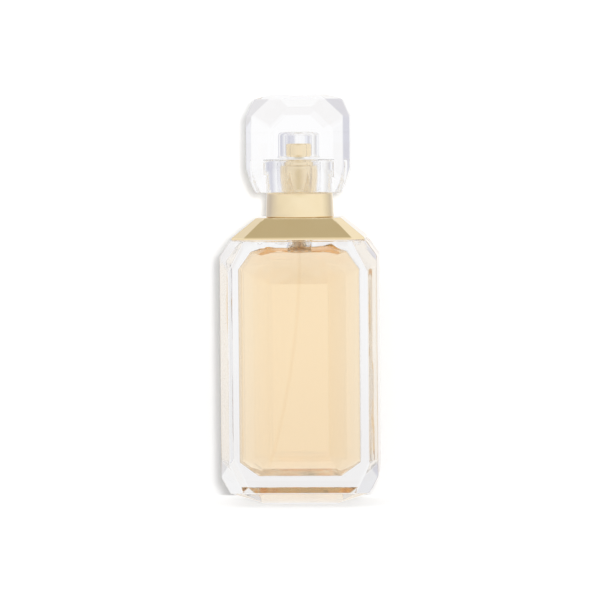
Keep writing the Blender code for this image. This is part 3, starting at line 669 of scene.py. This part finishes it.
def outer_edges(shape: Shape, below: float = inf) -> list[bmesh.types.BMEdge]:
    """Finds the cut edges on the outside of a faceted piece.

    Args:
        shape: The piece.
        below: Height that the edges stay under.

    Returns:
        The edges that lie on the piece's convex hull and turn enough to be a cut.
    """
    shape.verts.index_update()
    wrap = shape.copy()
    found = bmesh.ops.convex_hull(wrap, input=wrap.verts)
    inner = {item.index for item in found["geom_interior"] if isinstance(item, bmesh.types.BMVert)}
    wrap.free()
    edges = []
    for edge in shape.edges:
        outside = all(vert.index not in inner and vert.co.z < below for vert in edge.verts)
        if outside and edge.is_manifold and edge.calc_face_angle() > FACET_ANGLE:
            edges.append(edge)
    return edges


def round_edges(shape: Shape, edges: list[bmesh.types.BMEdge], width_mm: float) -> None:
    """Rounds the given edges.

    Args:
        shape: The piece, which is changed.
        edges: The edges to round.
        width_mm: How far the round reaches into each face.
    """
    bmesh.ops.bevel(
        shape,
        geom=edges,
        offset=width_mm * MM,
        offset_type="OFFSET",
        affect="EDGES",
        segments=EDGE_SEGMENTS,
        profile=0.5,
        material=-1,
        clamp_overlap=True,
    )


def arc(
    radius: float, height: float, size: float, start: float, end: float, steps: int = CORNER_STEPS
) -> Profile:
    """Points of a rounded corner of a profile.

    Args:
        radius: Distance of the arc's centre from the axis.
        height: Height of the arc's centre.
        size: Radius of the arc.
        start: Angle of the first point in degrees, from outwards to up.
        end: Angle of the last point.
        steps: Number of straight pieces.

    Returns:
        Radius and height of each point.
    """
    angles = [radians(start + (end - start) * step / steps) for step in range(steps + 1)]
    return [(radius + size * cos(angle), height + size * sin(angle)) for angle in angles]


def turned(profile: Profile, steps: int) -> Shape:
    """Turns a profile round the axis.

    Args:
        profile: Radius and height of each corner. It closes on itself unless its two ends lie on the axis.
        steps: Number of facets round the axis.

    Returns:
        The turned shape, smooth all over.
    """
    shape = bmesh.new()
    verts = [shape.verts.new((radius, 0.0, height)) for radius, height in profile]
    edges = [shape.edges.new(pair) for pair in zip(verts, verts[1:])]
    if profile[0][0] > 0 or profile[-1][0] > 0:
        edges.append(shape.edges.new((verts[-1], verts[0])))
    bmesh.ops.spin(
        shape,
        geom=verts + edges,
        cent=(0.0, 0.0, 0.0),
        axis=(0.0, 0.0, 1.0),
        angle=tau,
        steps=steps,
        use_merge=True,
    )
    bmesh.ops.remove_doubles(shape, verts=shape.verts, dist=WELD)
    bmesh.ops.recalc_face_normals(shape, faces=shape.faces)
    for face in shape.faces:
        face.smooth = True
    return shape


def mark_corners(shape: Shape) -> None:
    """Keeps the corners of smooth faces crisp."""
    for edge in shape.edges:
        edge.smooth = edge.is_manifold and edge.calc_face_angle() < SHARP_ANGLE


def carved(block: Shape, tool: Shape) -> Shape:
    """Takes one shape out of another.

    Args:
        block: The shape that stays, which is freed.
        tool: The shape that is taken out, which is freed.

    Returns:
        The block without the tool's space.
    """
    objects = []
    for shape in (block, tool):
        mesh = bpy.data.meshes.new("carving")
        shape.to_mesh(mesh)
        shape.free()
        objects.append(bpy.data.objects.new("carving", mesh))
        bpy.context.scene.collection.objects.link(objects[-1])
    cut = objects[0].modifiers.new("cut", "BOOLEAN")
    cut.operation = "DIFFERENCE"
    cut.solver = "EXACT"
    cut.object = objects[1]
    result = bmesh.new()
    result.from_object(objects[0], bpy.context.evaluated_depsgraph_get())
    for obj in objects:
        mesh = obj.data
        bpy.data.objects.remove(obj)
        bpy.data.meshes.remove(mesh)
    return result


def add_piece(
    name: str, shape: Shape, finish: Finish, body: Body, node: str
) -> bpy.types.Object:
    """Adds a finished piece in place of a CAD node.

    Args:
        name: The piece's name.
        shape: Its mesh in the row frame, which is freed.
        finish: The finish of its surface.
        body: The body that it rides on.
        node: The CAD node that it stands for.

    Returns:
        The piece.
    """
    mesh = bpy.data.meshes.new(name)
    shape.to_mesh(mesh)
    shape.free()
    mesh.materials.append(finish.material())
    piece = bpy.data.objects.new(name, mesh)
    bpy.context.scene.collection.objects.link(piece)
    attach(piece, body.value)
    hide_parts(node)
    LOG.info("%s: %d faces in %s, rides on %s", name, len(mesh.polygons), finish.name, body.value)
    return piece


def dress_node(node: str, finish: Finish) -> None:
    """Gives a CAD node that stays in view its finish.

    Args:
        node: The node's name.
        finish: The finish of its surface.
    """
    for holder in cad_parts[node].material_slots:
        holder.material = finish.material()
    LOG.info("%s: CAD node in %s", node, finish.name)


@dataclass
class Flacon:
    """The step-cut glass, the perfume in it and the dip tube."""

    edge_mm: float = 0.3
    cavity_room_mm: float = 0.5
    wetting_mm: float = 0.03

    def glass(self) -> Shape:
        """Softens the block's cut edges, as the fire polish does.

        Returns:
            The block with its cavity.
        """
        shape = merged_copy("glass_flacon")
        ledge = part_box("shoulder_plate")[0][2]
        round_edges(shape, outer_edges(shape, ledge), self.edge_mm)
        return shape

    def perfume(self) -> Shape:
        """Fills the cavity with the liquid, which wets its wall.

        Returns:
            A closed shape a hair larger than the cavity, so that no film of air is left at the glass.
        """
        shape = merged_copy("glass_flacon")
        lowest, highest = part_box("perfume_fill")
        room = self.cavity_room_mm * MM
        outside = [
            vert
            for vert in shape.verts
            if any(not low - room < at < high + room for at, low, high in zip(vert.co, lowest, highest))
        ]
        bmesh.ops.delete(shape, geom=outside, context="VERTS")
        bmesh.ops.holes_fill(shape, edges=[edge for edge in shape.edges if edge.is_boundary])
        bmesh.ops.recalc_face_normals(shape, faces=shape.faces)
        for vert in shape.verts:
            vert.co += vert.normal * (self.wetting_mm * MM)
        return shape

    def build(self) -> None:
        """Builds and dresses the flacon."""
        add_piece("flacon_glass", self.glass(), FLINT_GLASS, Body.BOTTLE, "glass_flacon")
        add_piece("perfume_liquid", self.perfume(), PERFUME, Body.BOTTLE, "perfume_fill")
        dress_node("dip_tube", DIP_TUBE)


@dataclass
class Shoulder:
    """The hipped gold plate and the turned collar that stands on it."""

    plate_edge_mm: float = 0.25
    collar_edge_mm: float = 0.45
    collar_wall_mm: float = 0.7
    skirt_mm: float = 8.9
    step_mm: float = 1.95
    flare_mm: float = 0.4
    ring_mm: float = 1.9
    ring_wall_mm: float = 0.6
    ring_play_mm: float = 0.4
    seat_mm: float = 0.25
    steps: int = 144

    def plate(self) -> Shape:
        """Softens the plate's outer edges, as the polish does.

        Returns:
            The hollow plate.
        """
        shape = merged_copy("shoulder_plate")
        round_edges(shape, outer_edges(shape), self.plate_edge_mm)
        return shape

    def collar(self) -> Shape:
        """Turns the collar from its own profile.

        Returns:
            The skirt, the sleeve that the cap grips and the ring that guides the button, in one wall.
        """
        lowest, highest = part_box("collar_shell")
        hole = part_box("actuator_shell")[1][0] + self.ring_play_mm * MM
        foot = highest[0]
        shoulder = lowest[2] + self.skirt_mm * MM
        bottom = lowest[2] - self.seat_mm * MM
        crown = highest[2] - self.ring_mm * MM
        skirt = foot - self.flare_mm * MM
        sleeve = skirt - self.step_mm * MM
        ring = hole + self.ring_wall_mm * MM
        wall = self.collar_wall_mm * MM
        edge = self.collar_edge_mm * MM
        lip = edge / 2
        profile = arc(ring - lip, highest[2] - lip, lip, 90, 0)
        profile += arc(ring + lip, crown + lip, lip, 180, 270)
        profile += arc(sleeve - edge, crown - edge, edge, 90, 0)
        profile += arc(sleeve + lip, shoulder + lip, lip, 180, 270)
        profile += arc(skirt - edge, shoulder - edge, edge, 90, 0)
        profile += arc(foot - lip, bottom + lip, lip, 0, -90)
        profile += [
            (foot - wall, bottom),
            (skirt - wall, shoulder - wall),
            (sleeve - wall, shoulder - wall),
            (sleeve - wall, crown - wall),
            (hole, crown - wall),
            (hole, highest[2]),
        ]
        shape = turned(profile, self.steps)
        mark_corners(shape)
        return shape

    def build(self) -> None:
        """Builds and dresses the plate, the collar and the ring that holds the collar."""
        add_piece(
            "shoulder_plate_gold", self.plate(), PLATE_GOLD, Body.BOTTLE, "shoulder_plate"
        )
        add_piece("collar_gold", self.collar(), TURNED_GOLD, Body.BOTTLE, "collar_shell")
        dress_node("collar_insert", NATURAL_MOULDING)


@dataclass
class SprayPump:
    """The crimped pump in the neck and the gold button on its stem."""

    button_edge_mm: float = 0.7
    button_edge_steps: int = 8
    button_wall_mm: float = 0.5
    nozzle_play_mm: float = 0.15
    stroke_joint: str = "pump_stroke"
    steps: int = 128

    def nozzle_hole(self, reach: float) -> Shape:
        """Makes the round bar that cuts the nozzle's hole.

        Args:
            reach: How far back from the axis the middle of the bar lies, which is half its length.

        Returns:
            A bar along Y, from the axis out through the button's back.
        """
        low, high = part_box("spray_nozzle")
        radius = (high[0] - low[0]) / 2 + self.nozzle_play_mm * MM
        place = Matrix.Translation((0.0, reach, (low[2] + high[2]) / 2))
        bar = bmesh.new()
        bmesh.ops.create_cone(
            bar,
            cap_ends=True,
            segments=self.steps // 2,
            radius1=radius,
            radius2=radius,
            depth=2 * reach,
            matrix=place @ Matrix.Rotation(pi / 2, 4, "X"),
        )
        return bar

    def button(self) -> Shape:
        """Draws the button's gold cover.

        Returns:
            A cup with a round hole in its back for the nozzle.
        """
        lowest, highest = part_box("actuator_shell")
        radius = highest[0]
        bottom, top = lowest[2], highest[2]
        edge = self.button_edge_mm * MM
        wall = self.button_wall_mm * MM
        lip = wall / 3
        profile = [(0.0, top)]
        profile += arc(radius - edge, top - edge, edge, 90, 0, self.button_edge_steps)
        profile += arc(radius - lip, bottom + lip, lip, 0, -90)
        profile += [
            (radius - wall, bottom),
            (radius - wall, top - wall),
            (0.0, top - wall),
        ]
        shape = carved(turned(profile, self.steps), self.nozzle_hole(radius))
        mark_corners(shape)
        return shape

    def spring(self) -> Shape:
        """Smooths the return spring's wire.

        Returns:
            The spring at rest.
        """
        shape = merged_copy("return_spring")
        for face in shape.faces:
            face.smooth = True
        mark_corners(shape)
        return shape

    def add_spring(self) -> None:
        """Adds the return spring, with a mesh of its own."""
        wire = add_piece(
            "spring_steel", self.spring(), SPRING_STEEL, Body.BOTTLE, "return_spring"
        )
        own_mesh(wire)

    def build(self) -> None:
        """Builds the button's cover and the spring, and dresses the pump's own pieces."""
        add_piece("button_gold", self.button(), TURNED_GOLD, Body.BUTTON, "actuator_shell")
        self.add_spring()
        for node in ("actuator_core", "spray_nozzle", "pump_cover"):
            dress_node(node, NATURAL_MOULDING)
        for node in ("pump_housing", "ball_retainer"):
            dress_node(node, PUMP_WALL)
        dress_node("pump_stem", ACETAL)
        for node in ("neck_gasket", "stem_gasket"):
            dress_node(node, NITRILE)
        dress_node("inlet_ball", SPRING_STEEL)
        dress_node("pump_piston", PISTON_GREY)
        dress_node("crimp_ferrule", FERRULE_GOLD)


@dataclass
class Cap:
    """The faceted clear cap with its stepped bore, and the sleeve in the bore."""

    edge_mm: float = 0.3
    seat_mm: float = 0.3
    button_play_mm: float = 0.5
    headroom_mm: float = 4.4
    ring_gap_mm: float = 0.8
    fillet_mm: float = 1.6
    fillet_steps: int = 10
    sleeve_wall_mm: float = 1.4
    sleeve_bead_mm: float = 0.15
    sleeve_edge_mm: float = 0.3
    steps: int = 192

    def block(self) -> Shape:
        """Makes the cap's faceted outside, with its edges softened.

        Returns:
            A solid without the bore.
        """
        shape = merged_copy("cap_crystal")
        found = bmesh.ops.convex_hull(shape, input=shape.verts)
        spare = set(found["geom_interior"]) | set(found["geom_unused"])
        inner = [item for item in spare if isinstance(item, bmesh.types.BMVert)]
        bmesh.ops.delete(shape, geom=inner, context="VERTS")
        hull = {item for item in found["geom"] if item.is_valid and isinstance(item, bmesh.types.BMFace)}
        old = [face for face in shape.faces if face not in hull]
        bmesh.ops.delete(shape, geom=old, context="FACES_ONLY")
        bmesh.ops.dissolve_limit(shape, angle_limit=FLAT_ANGLE, verts=shape.verts, edges=shape.edges)
        bmesh.ops.recalc_face_normals(shape, faces=shape.faces)
        round_edges(shape, outer_edges(shape), self.edge_mm)
        return shape

    def bore(self) -> Shape:
        """Makes the space in the cap.

        Returns:
            A wide lower bore for the sleeve and collar, and a narrower upper one over the button.
        """
        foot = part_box("cap_crystal")[0][2]
        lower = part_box("cap_liner")[1][0] + self.seat_mm * MM
        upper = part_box("actuator_shell")[1][0] + self.button_play_mm * MM
        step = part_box("collar_shell")[1][2] + self.ring_gap_mm * MM
        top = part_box("actuator_shell")[1][2] + self.headroom_mm * MM
        fillet = self.fillet_mm * MM
        profile = [(0.0, top)]
        profile += arc(upper - fillet, top - fillet, fillet, 90, 0, self.fillet_steps)
        profile += arc(upper + fillet, step + fillet, fillet, 180, 270, self.fillet_steps)
        profile += arc(lower - fillet, step - fillet, fillet, 90, 0, self.fillet_steps)
        profile += [(lower, foot - fillet), (0.0, foot - fillet)]
        return turned(profile, self.steps)

    def sleeve(self) -> Shape:
        """Turns the clear sleeve that grips the collar.

        Returns:
            A thin tube with a slight bead inside.
        """
        lowest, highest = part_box("cap_liner")
        outer = highest[0]
        wall = self.sleeve_wall_mm * MM
        inner = outer - wall
        bead = inner - self.sleeve_bead_mm * MM
        edge = self.sleeve_edge_mm * MM
        middle = (lowest[2] + highest[2]) / 2
        profile = arc(outer - edge, highest[2] - edge, edge, 90, 0)
        profile += arc(outer - edge, lowest[2] + edge, edge, 0, -90)
        profile += arc(inner + edge, lowest[2] + edge, edge, 270, 180)
        profile += [(inner, middle - wall), (bead, middle), (inner, middle + wall)]
        profile += arc(inner + edge, highest[2] - edge, edge, 180, 90)
        shape = turned(profile, self.steps)
        mark_corners(shape)
        return shape

    def build(self) -> None:
        """Builds and dresses the cap."""
        shape = carved(self.block(), self.bore())
        mark_corners(shape)
        add_piece("cap_clear", shape, CAP_RESIN, Body.CAP, "cap_crystal")
        add_piece("cap_sleeve", self.sleeve(), CLEAR_SLEEVE, Body.CAP, "cap_liner")


@dataclass(frozen=True)
class TentBelt:
    """A belt of the tent: the heights where it starts to show and is full, and its colours.

    A stop is a turn in degrees from straight behind the object, towards the viewer's right, and a colour.
    """

    start_deg: float
    full_deg: float
    stops: tuple[tuple[float, str], ...]

    def cloth(self, tree: Tree, share: Socket) -> Socket:
        """Dyes the belt.

        Args:
            tree: The world's node tree.
            share: Turn round the tent, rising to the viewer's right.

        Returns:
            The belt's colour.
        """
        ramp = add_node(tree, "ShaderNodeValToRGB", None, {"Fac": share})
        spots = ramp.color_ramp.elements
        while len(spots) < len(self.stops):
            spots.new(BEHIND)
        for spot, (turn, colour) in zip(spots, self.stops):
            spot.position = BEHIND + turn / ROUND_DEG
            spot.color = linear(colour)
        return ramp.outputs["Color"]


# The tent from its floor to its roof
TENT = (
    # White under everything
    TentBelt(-90, -90, ((-180, WHITE), (180, WHITE))),
    # Low: white straight behind and in front, grey between
    TentBelt(
        -55,
        -35,
        (
            (-180, WHITE),
            (-80, "#F4F4F6"),
            (-30, "#DCDBE1"),
            (-22, "#E4E3E6"),
            (-14, WHITE),
            (12, WHITE),
            (20, "#EBEAEB"),
            (60, "#E4E3E6"),
            (110, WHITE),
        ),
    ),
    # Under the level of the eye: the same and a shade dimmer
    TentBelt(
        -15,
        -12,
        (
            (-180, WHITE),
            (-80, "#E4E4E8"),
            (-30, "#D8D7DF"),
            (-22, "#DEDDE4"),
            (-15, "#F9F8F8"),
            (14, "#F9F8F8"),
            (22, "#EAE9E9"),
            (48, "#D8D5D3"),
            (90, WHITE),
        ),
    ),
    # Level: white behind and in front, and a mostly cool grey at the sides
    TentBelt(
        -5.2,
        -3.0,
        (
            (-180, WHITE),
            (-125, "#F7F7F7"),
            (-105, "#F0F0F1"),
            (-80, "#E1E1E6"),
            (-60, "#CECEDA"),
            (-40, "#D4D4DE"),
            (-24, "#DADAE1"),
            (-17, "#F4F4F5"),
            (-14, WHITE),
            (15, WHITE),
            (24, "#FAFAFA"),
            (35, "#E3E4EC"),
            (48, "#D5D3D5"),
            (75, "#EDECEA"),
            (95, WHITE),
        ),
    ),
    # Just above level: much the same, with a faint dip behind
    TentBelt(
        0.5,
        2.5,
        (
            (-180, WHITE),
            (-105, "#F4F4F4"),
            (-60, "#CECEDA"),
            (-24, "#DADAE1"),
            (-17, "#F4F4F5"),
            (-14, WHITE),
            (-5, WHITE),
            (-4, "#F9F8F8"),
            (-1, "#F9F8F8"),
            (0, WHITE),
            (24, "#FAFAFA"),
            (35, "#E3E4EC"),
            (48, "#D5D3D5"),
            (75, "#EDECEA"),
            (95, WHITE),
        ),
    ),
    # Higher: warm and dim in front, and grey at the sides
    TentBelt(
        6,
        12,
        (
            (-180, "#E2DCCC"),
            (-145, "#F6F4F0"),
            (-110, WHITE),
            (-60, "#D2D2DC"),
            (-25, "#E0E0E6"),
            (-10, WHITE),
            (10, WHITE),
            (30, "#E4E3E4"),
            (55, "#ECEBE8"),
            (85, WHITE),
            (130, WHITE),
            (180, "#E2DCCC"),
        ),
    ),
    # High: pale all round
    TentBelt(
        42,
        52,
        (
            (-180, "#E8E4DC"),
            (-122, "#E9E8E6"),
            (-60, "#EEEEF0"),
            (60, WHITE),
            (180, "#E8E4DC"),
        ),
    ),
    # Roof: warm and dim
    TentBelt(66, 76, ((-180, "#C6BFAC"), (180, "#C6BFAC"))),
)


@dataclass
class Studio:
    """A pale floor and backdrop, one soft lamp, a light tent round the object and the camera."""

    floor_size_m: float = 6.0
    floor_drop_mm: float = 0.05
    floor_glow: float = 0.6
    paper_size_m: float = 1.2
    paper_gap_mm: float = 8.0
    paper_glow: float = 0.22
    paper_tone: str = "#F9F9F9"
    lamp_power: float = 8.0
    lamp_distance_m: float = 1.3
    lamp_radius_mm: float = 56.0
    lamp_right_deg: float = 5.4
    lamp_up_deg: float = 5.0
    fill_light: float = 0.45
    camera_distance_m: float = 1.5
    camera_height_mm: float = 148.71
    camera_aside_mm: float = -0.22
    camera_yaw_deg: float = 2.792
    camera_pitch_deg: float = 2.748
    camera_roll_deg: float = -0.466
    camera_reach_m: float = 20.0
    lens_mm: float = 238.35
    clear_bounces: int = 48
    mirror_bounces: int = 24

    def paper_material(self, name: str, glow: float, one_sided: bool) -> bpy.types.Material:
        """White paper that keeps the object's shadow.

        Args:
            name: The material's name.
            glow: Light that the camera sees the paper give off.
            one_sided: Whether the paper is clear from behind.

        Returns:
            The material.
        """
        made = blank_material(name)
        tree = made.node_tree
        camera_ray = add_node(tree, "ShaderNodeLightPath").outputs["Is Camera Ray"]
        card = add_node(tree, "ShaderNodeBsdfDiffuse", {"Color": linear(self.paper_tone)}).outputs["BSDF"]
        shine = add_node(tree, "ShaderNodeEmission", {"Color": linear(WHITE), "Strength": glow})
        lit = add_node(tree, "ShaderNodeAddShader", None, {0: card, 1: shine.outputs["Emission"]})
        surface = add_node(
            tree, "ShaderNodeMixShader", None, {0: camera_ray, 1: card, 2: lit.outputs["Shader"]}
        )
        if one_sided:
            behind = add_node(tree, "ShaderNodeNewGeometry").outputs["Backfacing"]
            clear = add_node(tree, "ShaderNodeBsdfTransparent")
            surface = add_node(
                tree,
                "ShaderNodeMixShader",
                None,
                {0: behind, 1: surface.outputs["Shader"], 2: clear.outputs["BSDF"]},
            )
        add_node(tree, "ShaderNodeOutputMaterial", None, {"Surface": surface.outputs["Shader"]})
        return made

    def add_sheet(
        self, name: str, size: float, place: Matrix, material: bpy.types.Material
    ) -> bpy.types.Object:
        """Adds a flat sheet of the studio, which metal and clear pieces look past to the tent.

        Args:
            name: The sheet's name.
            size: Length of its sides in metres.
            place: Where it lies.
            material: Its surface.

        Returns:
            The sheet.
        """
        shape = bmesh.new()
        bmesh.ops.create_grid(shape, x_segments=1, y_segments=1, size=size / 2, matrix=place)
        mesh = bpy.data.meshes.new(name)
        shape.to_mesh(mesh)
        shape.free()
        mesh.materials.append(material)
        sheet = bpy.data.objects.new(name, mesh)
        bpy.context.scene.collection.objects.link(sheet)
        sheet.visible_glossy = False
        sheet.visible_transmission = False
        return sheet

    def add_paper(self) -> None:
        """Lays the floor, and hangs the paper that takes the shadow close behind the object."""
        laid = Matrix.Translation((0.0, 0.0, -self.floor_drop_mm * MM))
        matt = self.paper_material("floor_paper", self.floor_glow, False)
        self.add_sheet("studio_floor", self.floor_size_m, laid, matt)
        behind = CAD_BOX[1][1] + self.paper_gap_mm * MM
        hung = Matrix.Translation((0.0, behind, self.paper_size_m / 2)) @ Matrix.Rotation(pi / 2, 4, "X")
        matt = self.paper_material("backdrop_paper", self.paper_glow, True)
        backdrop = self.add_sheet("studio_backdrop", self.paper_size_m, hung, matt)
        backdrop.visible_diffuse = False
        backdrop.visible_shadow = False

    def add_lamp(self) -> None:
        """Hangs the soft lamp beside the camera, a little to the right and above."""
        lamp = bpy.data.lights.new("studio_lamp", "AREA")
        lamp.shape = "DISK"
        lamp.size = 2 * self.lamp_radius_mm * MM
        lamp.energy = self.lamp_power
        holder = bpy.data.objects.new("studio_lamp", lamp)
        bpy.context.scene.collection.objects.link(holder)
        right, up = radians(self.lamp_right_deg), radians(self.lamp_up_deg)
        way = Vector((sin(right) * cos(up), -cos(right) * cos(up), sin(up)))
        middle = (Vector(CAD_BOX[0]) + Vector(CAD_BOX[1])) / 2
        holder.location = middle + way * self.lamp_distance_m
        holder.rotation_euler = way.to_track_quat("Z", "Y").to_euler()
        holder.visible_glossy = False
        holder.visible_transmission = False

    def add_tent(self) -> None:
        """Surrounds the object with a white tent that has dim gaps, which draw the facets."""
        world = bpy.data.worlds.new("studio_tent")
        world.use_nodes = True
        tree = world.node_tree
        tree.nodes.clear()
        way = add_node(tree, "ShaderNodeTexCoord").outputs["Generated"]
        split = add_node(tree, "ShaderNodeSeparateXYZ", None, {"Vector": way}).outputs
        turn = add_node(tree, "ShaderNodeMath", {"operation": "ARCTAN2"}, {0: split["X"], 1: split["Y"]})
        share = add_node(
            tree,
            "ShaderNodeMath",
            {"operation": "MULTIPLY_ADD", 1: 1 / tau, 2: BEHIND},
            {0: turn.outputs["Value"]},
        ).outputs["Value"]
        cloth = TENT[0].cloth(tree, share)
        for belt in TENT[1:]:
            rise = add_node(
                tree,
                "ShaderNodeMapRange",
                {
                    "interpolation_type": "SMOOTHSTEP",
                    "From Min": sin(radians(belt.start_deg)),
                    "From Max": sin(radians(belt.full_deg)),
                },
                {"Value": split["Z"]},
            )
            cloth = add_node(
                tree,
                "ShaderNodeMix",
                {"data_type": "RGBA"},
                {0: rise.outputs["Result"], 6: cloth, 7: belt.cloth(tree, share)},
            ).outputs[2]
        light = add_node(tree, "ShaderNodeLightPath").outputs
        seen = add_node(tree, "ShaderNodeBackground", {"Strength": 1.0}, {"Color": cloth})
        seen = seen.outputs["Background"]
        for ray, strength in (("Is Diffuse Ray", self.fill_light), ("Is Camera Ray", 1.0)):
            plain = add_node(tree, "ShaderNodeBackground", {"Color": linear(WHITE), "Strength": strength})
            seen = add_node(
                tree,
                "ShaderNodeMixShader",
                None,
                {0: light[ray], 1: seen, 2: plain.outputs["Background"]},
            ).outputs["Shader"]
        add_node(tree, "ShaderNodeOutputWorld", None, {"Surface": seen})
        bpy.context.scene.world = world

    def add_camera(self) -> None:
        """Stands the camera where the photograph was taken from."""
        lens = bpy.data.cameras.new("studio_camera")
        lens.lens = self.lens_mm
        lens.clip_end = self.camera_reach_m
        camera = bpy.data.objects.new("studio_camera", lens)
        bpy.context.scene.collection.objects.link(camera)
        yaw, pitch, roll = (
            radians(angle) for angle in (self.camera_yaw_deg, self.camera_pitch_deg, self.camera_roll_deg)
        )
        forward = Vector((-sin(yaw) * cos(pitch), cos(yaw) * cos(pitch), -sin(pitch)))
        right = Vector((cos(yaw), sin(yaw), 0.0))
        up = right.cross(forward)
        across = right * cos(roll) + up * sin(roll)
        upright = up * cos(roll) - right * sin(roll)
        turn = Matrix((across, upright, -forward)).transposed().to_4x4()
        place = Vector(
            (
                self.camera_distance_m * sin(yaw) + self.camera_aside_mm * MM,
                -self.camera_distance_m * cos(yaw),
                self.camera_height_mm * MM,
            )
        )
        camera.matrix_world = Matrix.Translation(place) @ turn
        bpy.context.scene.camera = camera

    def build(self) -> None:
        """Sets up the studio."""
        scene = bpy.context.scene
        scene.view_settings.view_transform = "Standard"
        scene.cycles.max_bounces = self.clear_bounces
        scene.cycles.transmission_bounces = self.clear_bounces
        scene.cycles.glossy_bounces = self.mirror_bounces
        self.add_paper()
        self.add_lamp()
        self.add_tent()
        self.add_camera()


def main() -> None:
    """Builds the bottle's pieces in order, and the studio round them."""
    logging.basicConfig(level=logging.INFO, format="%(name)s: %(message)s")
    for part in (Flacon(), Shoulder(), SprayPump(), Cap(), Studio()):
        part.build()
        LOG.info("%s built", type(part).__name__)


if __name__ == "__main__":
    main()
